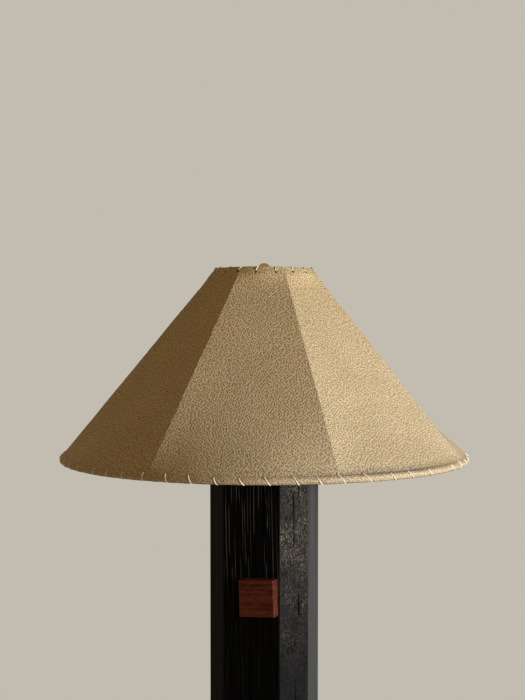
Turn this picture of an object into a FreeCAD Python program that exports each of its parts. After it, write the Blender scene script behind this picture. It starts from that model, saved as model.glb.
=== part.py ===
import FreeCAD, Part
import math
import os

# A floor lamp: a heavy eight-sided timber column on a plinth, with a laced skin shade on a harp.
# Millimetres. +Z is up, the front is -Y, and the origin is on the floor on the column's axis.

V = FreeCAD.Vector
ORIGIN = V(0, 0, 0)
UP = V(0, 0, 1)
BACK = V(0, 1, 0)
FULL_TURN = 360.0

# Clearances and cutting
overrun = 5.0
running_gap = 0.075
thread_gap = 0.05
slip_gap = 0.2
seat_gap = 0.05
joinery_gap = 0.15

# Plinth, its feet and the cover under it
plinth_thickness = 50.0
plinth_side_margin = 105.7
plinth_front_margin = 101.3
plinth_bevel = 4.0
pocket_diameter = 58.0
pocket_depth = 27.0
cover_diameter = 78.0
cover_thickness = 2.5
cover_screw_circle = 68.0
cover_screw_count = 3
cover_screw_head_diameter = 6.4
cover_screw_head_height = 2.0
cover_screw_shank_diameter = 3.2
cover_screw_length = 12.0
glide_diameter = 32.0
glide_height = 5.0
glide_inset = 30.0
glide_peg_diameter = 8.0
glide_peg_length = 14.0
lead_bore_diameter = 8.0
lead_bushing_diameter = 12.0
lead_bushing_length = 22.0
lead_bushing_flange_diameter = 18.0
lead_bushing_flange_thickness = 2.0
lead_channel_diameter = 10.0
lead_height = 12.0

# Timber column
column_width = 128.6
column_depth = 99.4
column_corner_leg = 28.1
column_length = 1235.0
column_arris_bevel = 1.2
rod_hole_diameter = 11.0
dowel_diameter = 12.0
dowel_length = 60.0
dowel_spacing = 84.0
dowel_end_room = 1.0

# Red accent block, let into the column's front face
block_width = 44.4
block_height = 45.0
block_stand = 16.5
block_side_offset = 12.2
block_drop = 171.9
block_turn = 1.8
block_edge_bevel = 0.6
block_tenon_width = 25.0
block_tenon_height = 26.0
block_tenon_length = 20.0

# Threaded rod through plinth and column, with what it clamps
rod_diameter = 9.6
rod_bore_diameter = 6.8
rod_end_stand = 3.0
rod_top_engagement = 8.0
washer_diameter = 34.0
washer_thickness = 2.5
nut_width = 17.0
nut_height = 5.0
cap_diameter = 62.0
cap_thickness = 3.0
cap_edge_bevel = 1.0
neck_height = 8.0
neck_diameter = 17.0
neck_waist_diameter = 13.0
neck_lip = 1.5

# Harp, its saddle and its sleeves
saddle_thickness = 1.6
saddle_disc_diameter = 21.0
saddle_arm_width = 9.0
saddle_ear_width = 4.4
saddle_ear_height = 15.0
saddle_ear_centre = 24.2
saddle_toe = 4.6
harp_wire_diameter = 3.4
harp_height = 203.2
harp_half_width = 56.0
harp_leg_straight = 42.0
harp_lower_corner = 74.0
harp_upper_corner = 122.0
harp_shoulder_half_width = 38.0
harp_shoulder_height = 172.0
harp_crown_half_width = 20.0
harp_bend_share = 0.4
harp_stud_base_diameter = 12.7
harp_stud_base_height = 8.0
harp_stud_diameter = 6.35
harp_stud_stand = 8.5
sleeve_length = 12.0
sleeve_wall = 0.7

# Lampholder
holder_cap_diameter = 36.0
holder_cap_height = 22.0
holder_cap_wall = 0.8
holder_cap_hub_diameter = 16.0
holder_cap_hub_height = 6.0
holder_shell_height = 40.0
holder_shell_wall = 0.7
holder_shell_lip = 1.4
holder_overlap = 5.0
liner_wall = 0.6
insulator_diameter = 27.0
insulator_height = 17.0
screw_shell_wall = 0.5
contact_width = 6.0
contact_thickness = 0.5
contact_length = 16.0
terminal_screw_diameter = 5.0
terminal_screw_length = 2.2
terminal_screw_drop = 6.0
switch_stem_diameter = 4.0
switch_stem_root = 7.0
switch_stem_reach = 33.0
switch_knob_diameter = 13.0
switch_knob_length = 14.0
switch_knob_socket = 7.0
switch_knob_flutes = 8
switch_knob_flute_diameter = 2.0
switch_stem_hole_diameter = 6.0

# Bulb
bulb_diameter = 60.0
bulb_height = 108.0
bulb_glass_wall = 0.8
bulb_neck_diameter = 25.0
bulb_neck_height = 9.0
bulb_base_diameter = 26.2
bulb_base_height = 21.0
bulb_base_wall = 0.5
bulb_thread_pitch = 3.6
bulb_thread_depth = 0.7
bulb_thread_turns = 4
bulb_thread_start = 4.0
bulb_thread_gap = 0.3
bulb_tip_height = 6.0
bulb_tip_diameter = 9.5
bulb_stem_diameter = 11.0
bulb_stem_tip_diameter = 5.0
bulb_stem_height = 36.0
bulb_stem_foot_height = 1.0
bulb_stem_flare_height = 8.0
filament_wire_diameter = 0.8
filament_lead_height = 20.0
filament_half_width = 11.0
filament_rise = 5.0

# Shade frame
panel_count = 7
bottom_ring_diameter = 499.6
top_ring_diameter = 116.8
ring_spacing = 231.2
bottom_wire_diameter = 5.0
top_wire_diameter = 5.0
rib_diameter = 4.0
rib_bottom_turn = -12.9
rib_top_turn = -9.1
hub_diameter = 25.0
hub_thickness = 2.0
spider_drop = 3.8
spider_arm_count = 3
spider_arm_diameter = 3.2
spider_turn = 11.75

# Skin of the shade
bead_diameter = 8.4
skin_thickness = 1.2
skin_tongue = 8.0
skin_top_stand = 2.0
skin_wire_gap = 0.1
panel_height_shares = (0.0, 0.03, 0.08, 0.14, 0.21, 0.30, 0.45, 0.65, 0.78, 0.86, 0.91, 0.95, 0.975, 1.0)
panel_roundness_shares = (1.0, 0.88, 0.66, 0.44, 0.26, 0.12, 0.03, 0.02, 0.02, 0.04, 0.10, 0.55, 1.0, 1.0)

# Lacing
thread_diameter = 1.4
thread_hole_gap = 0.25
bottom_stitch_count = 54
bottom_stitch_turn = 6.5
bottom_stitch_slant = -27.0
bottom_stitch_reach = 1.35
bottom_stitch_start = 90.0
bottom_stitch_sweep = -280.0
bottom_hole_start = 102.0
bottom_hole_sweep = -48.0
top_stitch_count = 16
top_stitch_turn = 8.0
top_stitch_slant = 27.0
top_stitch_reach = 2.0
top_stitch_start = -19.0
top_stitch_sweep = 254.0
top_hole_start = -32.0
top_hole_sweep = 48.0

# Finial
finial_diameter = 16.5
finial_foot_diameter = 14.0
finial_foot_height = 1.6
finial_neck_diameter = 10.0
finial_neck_height = 2.8
finial_belly_low = 4.4
finial_belly_high = 5.8
finial_height = 13.2

# Levels that follow from the sizes above
plinth_bottom = glide_height
plinth_top = plinth_bottom + plinth_thickness
pocket_top = plinth_bottom + pocket_depth
column_top = plinth_top + column_length
cap_top = column_top + cap_thickness
rod_nut_top = cap_top + nut_height
neck_top = rod_nut_top + neck_height
saddle_top = neck_top + saddle_thickness
rod_top = saddle_top + rod_top_engagement
harp_top = saddle_top + harp_height
hub_bottom = harp_top + seat_gap
hub_top = hub_bottom + hub_thickness
finial_bottom = hub_top + seat_gap
top_ring_level = hub_bottom + hub_thickness / 2 + spider_drop
bottom_ring_level = top_ring_level - ring_spacing
block_level = column_top - block_drop
plinth_width = column_width + 2 * plinth_side_margin
plinth_depth = column_depth + 2 * plinth_front_margin
plinth_corner_leg = column_corner_leg + plinth_side_margin * (2 - math.sqrt(2))
panel_angle = FULL_TURN / panel_count


def polar(radius, azimuth, height):
    """A point at this radius, turned from the front (-Y) towards +X by azimuth degrees."""
    turn = math.radians(azimuth)
    return V(radius * math.sin(turn), -radius * math.cos(turn), height)


def turned(shape, azimuth):
    """A copy of the shape, turned about the lamp's axis."""
    copy = shape.copy()
    copy.rotate(ORIGIN, UP, azimuth)
    return copy


def around(shape, count, start=0.0):
    """Evenly spaced copies of the shape round the lamp's axis."""
    return [turned(shape, start + FULL_TURN * index / count) for index in range(count)]


def group(solids):
    """Several separate solids in one compound."""
    return Part.makeCompound(list(solids))


def cylinder(diameter, height, base=0.0, x=0.0, y=0.0):
    """An upright cylinder whose foot is at the level base."""
    return Part.makeCylinder(diameter / 2, height, V(x, y, base))


def rod_between(diameter, start, end):
    """A round rod from one point to another."""
    run = end - start
    return Part.makeCylinder(diameter / 2, run.Length, start, run)


def tube(outer_diameter, inner_diameter, height, base=0.0):
    """An upright tube on the lamp's axis."""
    return cylinder(outer_diameter, height, base).cut(cylinder(inner_diameter, height, base))


def lathe(profile, base=0.0):
    """A turned solid from a closed outline of (radius, height above base) pairs."""
    points = [V(radius, 0, base + height) for radius, height in profile]
    outline = Part.makePolygon(points + [points[0]])
    return Part.Face(outline).revolve(ORIGIN, UP, FULL_TURN)


def prism(points, base, height):
    """An upright prism on an outline of (x, y) pairs."""
    corners = [V(x, y, base) for x, y in points]
    outline = Part.makePolygon(corners + [corners[0]])
    return Part.Face(outline).extrude(UP * height)


def octagon(width, depth, leg):
    """The corners of a rectangle whose four corners are cut off at 45 degrees."""
    half_width = width / 2
    half_depth = depth / 2
    return [
        (-half_width + leg, -half_depth),
        (half_width - leg, -half_depth),
        (half_width, -half_depth + leg),
        (half_width, half_depth - leg),
        (half_width - leg, half_depth),
        (-half_width + leg, half_depth),
        (-half_width, half_depth - leg),
        (-half_width, -half_depth + leg),
    ]


def hexagon_nut(width, height, bore, base):
    """A hexagon nut of this width across its flats."""
    corner_radius = width / 2 / math.cos(math.pi / 6)
    corners = []
    for index in range(6):
        corner = polar(corner_radius, 60 * index, 0)
        corners.append((corner.x, corner.y))
    return prism(corners, base, height).cut(cylinder(bore, height, base))


def upright_edges(shape, height):
    """The straight upright edges that run the whole height of a prism."""
    return [
        edge
        for edge in shape.Edges
        if abs(abs((edge.Vertexes[0].Point - edge.Vertexes[-1].Point).z) - height) < running_gap
    ]


def level_edges(shape, level):
    """The edges that lie at one level."""
    return [
        edge
        for edge in shape.Edges
        if max(abs(vertex.Point.z - level) for vertex in edge.Vertexes) < running_gap
    ]


# Base

def glide_places():
    """The centres of the four feet, inside the plinth's four slanted corners."""
    x = plinth_width / 2 - plinth_corner_leg / 2 - glide_inset
    y = plinth_depth / 2 - plinth_corner_leg / 2 - glide_inset
    return [(-x, -y), (x, -y), (x, y), (-x, y)]


def base_glides():
    """Four round feet, each with a peg in the plinth."""
    feet = []
    for x, y in glide_places():
        foot = cylinder(glide_diameter, glide_height, 0, x, y)
        peg = cylinder(glide_peg_diameter, glide_height + glide_peg_length, 0, x, y)
        feet.append(foot.fuse(peg).removeSplitter())
    return group(feet)


def dowel_places():
    """The centres of the two dowels between plinth and column."""
    return [(-dowel_spacing / 2, 0), (dowel_spacing / 2, 0)]


def cover_screw_places():
    """The centres of the screws in the cover under the plinth."""
    places = []
    for index in range(cover_screw_count):
        place = polar(cover_screw_circle / 2, FULL_TURN * index / cover_screw_count, 0)
        places.append((place.x, place.y))
    return places


def dowel_hole(x, y):
    """One hole that runs from the plinth up into the column, a little longer than its dowel."""
    length = dowel_length + 2 * dowel_end_room
    return cylinder(dowel_diameter + 2 * joinery_gap, length, plinth_top - length / 2, x, y)


def base_plinth():
    """The plinth: an eight-sided slab with a pocket under it for the rod's nut."""
    outline = octagon(plinth_width, plinth_depth, plinth_corner_leg)
    slab = prism(outline, plinth_bottom, plinth_thickness)
    slab = slab.makeChamfer(plinth_bevel, level_edges(slab, plinth_top))
    cuts = [
        cylinder(pocket_diameter, pocket_depth, plinth_bottom),
        cylinder(cover_diameter + 2 * joinery_gap, cover_thickness + joinery_gap, plinth_bottom),
        cylinder(rod_hole_diameter, plinth_thickness + overrun, plinth_bottom),
    ]
    for x, y in dowel_places():
        cuts.append(dowel_hole(x, y))
    for x, y in glide_places():
        peg_room = glide_peg_length + dowel_end_room
        cuts.append(cylinder(glide_peg_diameter + 2 * joinery_gap, peg_room, plinth_bottom, x, y))
    screw_bottom = plinth_bottom + cover_thickness
    for x, y in cover_screw_places():
        hole_diameter = cover_screw_shank_diameter + 2 * thread_gap
        cuts.append(cylinder(hole_diameter, cover_screw_length, screw_bottom, x, y))
    lead_level = plinth_bottom + lead_height
    channel_start = V(0, 0, lead_level)
    rear = V(0, plinth_depth / 2 + overrun, lead_level)
    cuts.append(rod_between(lead_channel_diameter, channel_start, rear))
    bushing_start = V(0, plinth_depth / 2 - lead_bushing_length, lead_level)
    cuts.append(rod_between(lead_bushing_diameter + 2 * joinery_gap, bushing_start, rear))
    return slab.cut(cuts)


def lead_bushing():
    """The flanged bushing in the plinth's rear face that the supply lead comes out of."""
    lead_level = plinth_bottom + lead_height
    rear = V(0, plinth_depth / 2, lead_level)
    inner_end = rear - BACK * lead_bushing_length
    outer_end = rear + BACK * lead_bushing_flange_thickness
    body = rod_between(lead_bushing_diameter, inner_end, outer_end)
    flange = rod_between(lead_bushing_flange_diameter, rear, outer_end)
    flange = flange.makeChamfer(lead_bushing_flange_thickness / 3, [flange.Edges[0]])
    return body.fuse(flange).removeSplitter().cut(rod_between(lead_bore_diameter, inner_end, outer_end))


def base_cover():
    """The disc that closes the pocket under the plinth, with countersunk screw holes."""
    disc = cylinder(cover_diameter, cover_thickness, plinth_bottom)
    holes = [cover_screw(x, y, joinery_gap) for x, y in cover_screw_places()]
    return disc.cut(holes)


def cover_screw(x, y, grown=0.0):
    """One countersunk screw; grown is the room round it where it is used as a hole."""
    head = Part.makeCone(
        cover_screw_head_diameter / 2 + grown,
        cover_screw_shank_diameter / 2 + grown,
        cover_screw_head_height,
        V(x, y, plinth_bottom),
    )
    shank = cylinder(cover_screw_shank_diameter + 2 * grown, cover_screw_length, plinth_bottom, x, y)
    return head.fuse(shank).removeSplitter()


def base_cover_screws():
    """The screws that hold the cover."""
    return group(cover_screw(x, y) for x, y in cover_screw_places())


# Column

def column_dowels():
    """The two dowels that keep the column from turning on the plinth."""
    start = plinth_top - dowel_length / 2
    return group(cylinder(dowel_diameter, dowel_length, start, x, y) for x, y in dowel_places())


def block_shape(grown=0.0):
    """The accent block's tenon, or with grown the mortise that takes it."""
    width = block_tenon_width + 2 * grown
    height = block_tenon_height + 2 * grown
    length = block_tenon_length + grown
    corner = V(block_side_offset - width / 2, -column_depth / 2, block_level - height / 2)
    return Part.makeBox(width, length, height, corner)


def block_turned(shape):
    """The shape as the block was let in by hand: turned a little in the column's front face."""
    turned = shape.copy()
    turned.rotate(V(block_side_offset, 0, block_level), V(0, -1, 0), block_turn)
    return turned


def column():
    """The eight-sided timber, bored for the rod and mortised for the accent block."""
    timber = prism(octagon(column_width, column_depth, column_corner_leg), plinth_top, column_length)
    timber = timber.makeChamfer(column_arris_bevel, upright_edges(timber, column_length))
    mortise = block_turned(block_shape(joinery_gap))
    cuts = [cylinder(rod_hole_diameter, column_length, plinth_top), mortise]
    for x, y in dowel_places():
        cuts.append(dowel_hole(x, y))
    return timber.cut(cuts)


def accent_block():
    """The small red block that stands out of the column, with its tenon."""
    corner = V(
        block_side_offset - block_width / 2,
        -column_depth / 2 - block_stand,
        block_level - block_height / 2,
    )
    block = Part.makeBox(block_width, block_stand, block_height, corner)
    front = [edge for edge in block.Edges if edge.BoundBox.YMax < corner.y + running_gap]
    block = block.makeChamfer(block_edge_bevel, front)
    return block_turned(block.fuse(block_shape()).removeSplitter())


def lamp_rod():
    """The hollow threaded rod that clamps plinth, column and harp saddle together."""
    bottom = pocket_top - washer_thickness - nut_height - rod_end_stand
    return tube(rod_diameter, rod_bore_diameter, rod_top - bottom, bottom)


def rod_bottom_washer():
    """The washer under the plinth."""
    bore = rod_diameter + 2 * joinery_gap
    return tube(washer_diameter, bore, washer_thickness, pocket_top - washer_thickness)


def rod_bottom_nut():
    """The nut under the plinth."""
    base = pocket_top - washer_thickness - nut_height
    return hexagon_nut(nut_width, nut_height, rod_diameter + 2 * thread_gap, base)


def column_cap():
    """The brass disc on the column's head."""
    bore = rod_diameter / 2 + joinery_gap
    rim = cap_diameter / 2
    profile = [
        (bore, 0),
        (rim, 0),
        (rim, cap_thickness - cap_edge_bevel),
        (rim - cap_edge_bevel, cap_thickness),
        (bore, cap_thickness),
    ]
    return lathe(profile, column_top)


def rod_top_nut():
    """The nut on the column's cap."""
    return hexagon_nut(nut_width, nut_height, rod_diameter + 2 * thread_gap, cap_top)


def neck_tube():
    """The waisted brass spacer between the nut and the harp's saddle."""
    bore = rod_diameter / 2 + joinery_gap
    lip = neck_diameter / 2
    waist = neck_waist_diameter / 2
    profile = [
        (bore, 0),
        (lip, 0),
        (lip, neck_lip),
        (waist, 2 * neck_lip),
        (waist, neck_height - 2 * neck_lip),
        (lip, neck_height - neck_lip),
        (lip, neck_height),
        (bore, neck_height),
    ]
    return lathe(profile, rod_nut_top)


# Harp

def leg_centre():
    """How far the harp's legs stand from the axis: flat against the outside of the saddle's ears."""
    return saddle_ear_centre + saddle_thickness / 2 + seat_gap + harp_wire_diameter / 2


def harp_saddle():
    """The bent strip that carries the harp, with two ears standing up."""
    toe_end = leg_centre() + saddle_toe
    bar_corner = V(-toe_end, -saddle_arm_width / 2, neck_top)
    bar = Part.makeBox(2 * toe_end, saddle_arm_width, saddle_thickness, bar_corner)
    disc = cylinder(saddle_disc_diameter, saddle_thickness, neck_top)
    strip = bar.fuse(disc)
    for side in (-1, 1):
        corner = V(side * saddle_ear_centre - saddle_thickness / 2, -saddle_ear_width / 2, neck_top)
        ear = Part.makeBox(saddle_thickness, saddle_ear_width, saddle_thickness + saddle_ear_height, corner)
        strip = strip.fuse(ear)
    hole = cylinder(rod_diameter + 2 * joinery_gap, saddle_thickness, neck_top)
    return strip.removeSplitter().cut(hole)


def rounded_route(points, share):
    """A wire through straight runs whose corners are tangent arcs; share sets how far they reach."""
    edges = []
    last = points[0]
    for before, corner, after in zip(points, points[1:], points[2:]):
        run_in = corner - before
        run_out = after - corner
        reach = share * min(run_in.Length, run_out.Length)
        run_in.normalize()
        run_out.normalize()
        half_turn = run_in.getAngle(run_out) / 2
        start = corner - run_in * reach
        end = corner + run_out * reach
        inward = run_out - run_in
        inward.normalize()
        radius = reach / math.tan(half_turn)
        centre = corner + inward * (reach / math.sin(half_turn))
        middle = centre - inward * radius
        edges.append(Part.LineSegment(last, start).toShape())
        edges.append(Part.Arc(start, middle, end).toShape())
        last = end
    edges.append(Part.LineSegment(last, points[-1]).toShape())
    return Part.Wire(edges)


def harp_wire():
    """The harp: one bent wire from the left foot over the crown to the right foot."""
    crown = harp_height - harp_stud_base_height / 2
    right = [
        (harp_crown_half_width, crown),
        (harp_shoulder_half_width, harp_shoulder_height),
        (harp_half_width, harp_upper_corner),
        (harp_half_width, harp_lower_corner),
        (leg_centre(), harp_leg_straight),
        (leg_centre(), 0),
    ]
    left = [(-x, z) for x, z in reversed(right)]
    points = [V(x, 0, saddle_top + z) for x, z in left + right]
    route = rounded_route(points, harp_bend_share)
    section = Part.Wire(Part.makeCircle(harp_wire_diameter / 2, points[0], UP))
    return route.makePipeShell([section], True, False)


def harp_stud():
    """The turned piece on the harp's crown, with the stud that the shade sits on."""
    base = cylinder(harp_stud_base_diameter, harp_stud_base_height, harp_top - harp_stud_base_height)
    stud = cylinder(harp_stud_diameter, hub_thickness + harp_stud_stand, harp_top)
    middle = harp_top - harp_stud_base_height / 2
    hole = rod_between(
        harp_wire_diameter + 2 * thread_gap,
        V(-harp_stud_base_diameter, 0, middle),
        V(harp_stud_base_diameter, 0, middle),
    )
    return base.fuse(stud).removeSplitter().cut(hole)


def harp_sleeve(side):
    """The sleeve that slides down over one ear and one leg of the harp."""
    inner_corner = saddle_ear_centre - saddle_thickness / 2
    half_ear = saddle_ear_width / 2
    outer = leg_centre() + harp_wire_diameter / 2
    centre = (outer**2 - inner_corner**2 - half_ear**2) / (2 * (outer - inner_corner))
    bore = 2 * (outer - centre + slip_gap)
    base = saddle_top + seat_gap
    body = cylinder(bore + 2 * sleeve_wall, sleeve_length, base, side * centre)
    return body.cut(cylinder(bore, sleeve_length, base, side * centre))


# Lampholder

def holder_shell_base():
    """The level of the shell's lower edge, inside the lampholder's cap."""
    return saddle_top + holder_cap_height - holder_overlap


def insulator_base():
    """The level of the insulating body's foot, where it seats in the flare of the lampholder's cap."""
    hub = holder_cap_hub_diameter / 2
    rim = holder_cap_diameter / 2 - holder_cap_wall
    low = holder_cap_hub_height + holder_cap_wall
    high = (holder_cap_hub_height + holder_cap_height) / 2 + holder_cap_wall / 2
    seat = low + (high - low) * (insulator_diameter / 2 - hub) / (rim - hub)
    return saddle_top + seat + seat_gap


def insulator_top():
    """The level of the insulating body's head, where the screw shell starts."""
    return insulator_base() + insulator_height


def holder_top():
    """The level of the lampholder's mouth."""
    return holder_shell_base() + holder_shell_height


def switch_level():
    """The level of the switch's stem, whose hole clears the lampholder's cap."""
    return saddle_top + holder_cap_height + switch_stem_hole_diameter / 2


def socket_cap():
    """The brass cup at the foot of the lampholder, screwed on the rod."""
    bore = rod_diameter / 2 + thread_gap
    hub = holder_cap_hub_diameter / 2
    rim = holder_cap_diameter / 2
    wall = holder_cap_wall
    flare = (holder_cap_hub_height + holder_cap_height) / 2
    profile = [
        (bore, 0),
        (hub, 0),
        (hub, holder_cap_hub_height),
        (rim, flare),
        (rim, holder_cap_height),
        (rim - wall, holder_cap_height),
        (rim - wall, flare + wall / 2),
        (hub, holder_cap_hub_height + wall),
        (bore, holder_cap_hub_height + wall),
    ]
    return lathe(profile, saddle_top)


def shell_diameter():
    """The outside of the shell, a slip fit in the cap."""
    return holder_cap_diameter - 2 * holder_cap_wall - 2 * thread_gap


def liner_diameter():
    """The outside of the paper liner, a slip fit in the shell."""
    return shell_diameter() - 2 * holder_shell_wall - 2 * thread_gap


def stem_hole():
    """The hole that the switch's stem comes out of, cut through what surrounds it."""
    level = switch_level()
    return rod_between(switch_stem_hole_diameter, V(0, 0, level), V(0, -holder_cap_diameter, level))


def socket_shell():
    """The brass shell round the lampholder, with a rolled lip."""
    outer = shell_diameter() / 2
    inner = outer - holder_shell_wall
    lip = outer + holder_shell_lip - holder_shell_wall
    height = holder_shell_height
    profile = [
        (inner, 0),
        (outer, 0),
        (outer, height - holder_shell_lip),
        (lip, height - holder_shell_lip / 2),
        (outer, height),
        (inner, height),
    ]
    return lathe(profile, holder_shell_base()).cut(stem_hole())


def socket_liner():
    """The insulating paper sleeve inside the shell."""
    outer = liner_diameter()
    height = holder_shell_height - holder_shell_lip
    sleeve = tube(outer, outer - 2 * liner_wall, height, holder_shell_base())
    return sleeve.cut(stem_hole())


def screw_shell_radius():
    """The screw shell's smallest inside radius, clear of the bulb's base."""
    return bulb_base_diameter / 2 + bulb_thread_gap


def thread_wall(crest, root, first, count):
    """The zigzag of a rolled thread, as (radius, height) pairs from the bottom up."""
    points = []
    for index in range(count):
        start = first + index * bulb_thread_pitch
        points.append((root, start))
        points.append((crest, start + bulb_thread_pitch / 2))
    points.append((root, first + count * bulb_thread_pitch))
    return points


def screw_shell():
    """The threaded copper shell that takes the bulb's base."""
    crest = screw_shell_radius() + bulb_thread_depth
    root = screw_shell_radius()
    height = bulb_thread_start + (bulb_thread_turns + 1) * bulb_thread_pitch
    inside = thread_wall(crest, root, bulb_thread_start, bulb_thread_turns)
    profile = [(root, 0)] + inside + [(root, height)]
    outer = crest + screw_shell_wall
    profile += [(outer, height), (outer, 0)]
    return lathe(profile, insulator_top())


def socket_interior():
    """The insulating body of the lampholder, bored for the switch's stem."""
    body = cylinder(insulator_diameter, insulator_height, insulator_base())
    stem_room = V(0, -switch_stem_root, switch_level())
    front = V(0, -insulator_diameter, switch_level())
    bore = rod_between(switch_stem_diameter + 2 * running_gap, stem_room, front)
    seats = []
    for side in (-1, 1):
        seats.append(terminal_screw(side, joinery_gap))
    return body.cut([bore] + seats)


def terminal_screw(side, grown=0.0):
    """One terminal screw, let into the side of the insulating body."""
    level = insulator_top() - terminal_screw_drop
    outer = insulator_diameter / 2
    start = V(side * (outer - terminal_screw_length - grown), 0, level)
    end = V(side * outer, 0, level)
    return rod_between(terminal_screw_diameter + 2 * grown, start, end)


def terminal_screws():
    """The two terminal screws."""
    return group(terminal_screw(side) for side in (-1, 1))


def centre_contact():
    """The springy brass strip under the bulb's tip."""
    corner = V(-contact_length / 2, -contact_width / 2, insulator_top())
    return Part.makeBox(contact_length, contact_width, contact_thickness, corner)


def switch_stem():
    """The brass stem of the turn switch."""
    start = V(0, -switch_stem_root - seat_gap, switch_level())
    return rod_between(switch_stem_diameter, start, V(0, -switch_stem_reach, switch_level()))


def switch_knob():
    """The fluted knob on the switch's stem."""
    inner = V(0, -switch_stem_reach + switch_knob_socket, switch_level())
    outer = inner - BACK * switch_knob_length
    knob = rod_between(switch_knob_diameter, inner, outer)
    cuts = [rod_between(switch_stem_diameter, inner, V(0, -switch_stem_reach, switch_level()))]
    for index in range(switch_knob_flutes):
        place = polar(switch_knob_diameter / 2, FULL_TURN * index / switch_knob_flutes, 0)
        start = V(place.x, inner.y, switch_level() + place.y)
        end = V(place.x, outer.y, switch_level() + place.y)
        cuts.append(rod_between(switch_knob_flute_diameter, start, end))
    return knob.cut(cuts)


# Bulb

def bulb_bottom():
    """The level of the bulb's tip, just above the centre contact."""
    return insulator_top() + contact_thickness + seat_gap


def bulb_base():
    """The threaded metal cap of the bulb."""
    crest = bulb_base_diameter / 2
    root = crest - bulb_thread_depth
    inner = root - bulb_base_wall
    outside = thread_wall(crest, root, bulb_thread_start - bulb_tip_height / 2, bulb_thread_turns)
    profile = [(inner, 0), (root, 0)] + outside
    profile += [(root, bulb_base_height), (inner, bulb_base_height)]
    return lathe(profile, bulb_bottom() + bulb_tip_height)


def bulb_insulator():
    """The black glass cone between the bulb's cap and its tip."""
    tip = bulb_tip_diameter / 2
    rim = bulb_base_diameter / 2 - bulb_thread_depth - bulb_base_wall
    skirt = rim + bulb_base_wall
    profile = [
        (0, bulb_tip_height / 3),
        (tip, bulb_tip_height / 3),
        (skirt, bulb_tip_height),
        (rim, bulb_tip_height),
        (rim, bulb_tip_height + bulb_base_wall),
        (0, bulb_tip_height + bulb_base_wall),
    ]
    return lathe(profile, bulb_bottom())


def bulb_contact():
    """The solder tip of the bulb."""
    tip = bulb_tip_diameter / 2
    profile = [(0, 0), (tip / 2, 0), (tip, bulb_tip_height / 3), (0, bulb_tip_height / 3)]
    return lathe(profile, bulb_bottom())


def glass_base():
    """The level where the glass leaves the bulb's cap."""
    return bulb_bottom() + bulb_tip_height + bulb_base_height


def glass_outline(radius, neck_radius, centre_height, neck_height):
    """The bulb's outline, as edges from the neck's foot to the crown."""
    foot = V(neck_radius, 0, 0)
    neck = V(neck_radius, 0, neck_height)
    centre = V(0, 0, centre_height)
    away = neck - centre
    swing = math.acos(radius / away.Length)
    angle = math.atan2(away.z, away.x) + swing
    touch = centre + V(radius * math.cos(angle), 0, radius * math.sin(angle))
    crown = centre + V(0, 0, radius)
    side = centre + V(radius, 0, 0)
    return [
        Part.LineSegment(foot, neck).toShape(),
        Part.LineSegment(neck, touch).toShape(),
        Part.Arc(touch, side, crown).toShape(),
    ]


def glass_body(shrink):
    """The solid inside the bulb's outline, drawn in by shrink."""
    radius = bulb_diameter / 2
    centre_height = bulb_height - bulb_tip_height - bulb_base_height - radius
    edges = glass_outline(radius - shrink, bulb_neck_diameter / 2 - shrink, centre_height, bulb_neck_height)
    crown = V(0, 0, centre_height + radius - shrink)
    edges.append(Part.LineSegment(crown, ORIGIN).toShape())
    edges.append(Part.LineSegment(ORIGIN, V(bulb_neck_diameter / 2 - shrink, 0, 0)).toShape())
    solid = Part.Face(Part.Wire(edges)).revolve(ORIGIN, UP, FULL_TURN)
    solid.translate(V(0, 0, glass_base()))
    return solid


def bulb_glass():
    """The thin glass envelope."""
    inside = glass_body(bulb_glass_wall)
    return glass_body(0).cut(inside)


def bulb_stem():
    """The glass stem inside the bulb, flared at its foot to the neck's inside."""
    flare = bulb_neck_diameter / 2 - bulb_glass_wall - thread_gap
    profile = [
        (0, 0),
        (flare, 0),
        (flare, bulb_stem_foot_height),
        (bulb_stem_diameter / 2, bulb_stem_flare_height),
        (bulb_stem_tip_diameter / 2, bulb_stem_height),
        (0, bulb_stem_height),
    ]
    return lathe(profile, glass_base())


def bulb_filament():
    """Two lead wires and the filament between them."""
    foot = glass_base() + bulb_stem_height
    reach = filament_half_width
    top = foot + filament_lead_height
    solids = []
    tip = bulb_stem_tip_diameter / 2 - filament_wire_diameter
    for side in (-1, 1):
        start = V(side * tip, 0, foot)
        lead = rod_between(filament_wire_diameter, start, V(side * reach, 0, top))
        solids.append(lead.cut(bulb_stem()))
    left = V(-reach, 0, top)
    right = V(reach, 0, top)
    path = Part.Wire(Part.Arc(left, V(0, 0, top + filament_rise), right).toShape())
    normal = path.Edges[0].tangentAt(path.Edges[0].FirstParameter)
    section = Part.Wire(Part.makeCircle(filament_wire_diameter / 2, left, normal))
    coil = path.makePipeShell([section], True, False)
    return group([solids[0], solids[1], coil.cut(solids)])


# Shade frame

def slope():
    """The skin's angle from upright, from the line that touches the bead and passes the top ring."""
    run = bottom_ring_diameter / 2 - top_ring_diameter / 2
    lean = math.atan2(run, ring_spacing)
    return lean + math.asin((bead_diameter / 2 - top_offset()) / math.hypot(run, ring_spacing))


def top_offset():
    """The skin's outer face, measured square from the top ring's centre."""
    return top_wire_diameter / 2 + skin_wire_gap + skin_thickness


def skin_run():
    """The skin's width in a level cut."""
    return skin_thickness / math.cos(slope())


def skin_line_point(ring_radius, ring_level, offset, along):
    """A (radius, level) point on the skin's outer face, along its slope from a ring's nearest point."""
    lean = slope()
    radius = ring_radius + offset * math.cos(lean) - along * math.sin(lean)
    level = ring_level + offset * math.sin(lean) + along * math.cos(lean)
    return radius, level


def tongue_top():
    """Where the panels start: the upper end of the hem's tongue."""
    return skin_line_point(bottom_ring_diameter / 2, bottom_ring_level, bead_diameter / 2, skin_tongue)


def skin_edge():
    """Where the skin ends, above the top ring."""
    return skin_line_point(top_ring_diameter / 2, top_ring_level, top_offset(), skin_top_stand)


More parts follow.
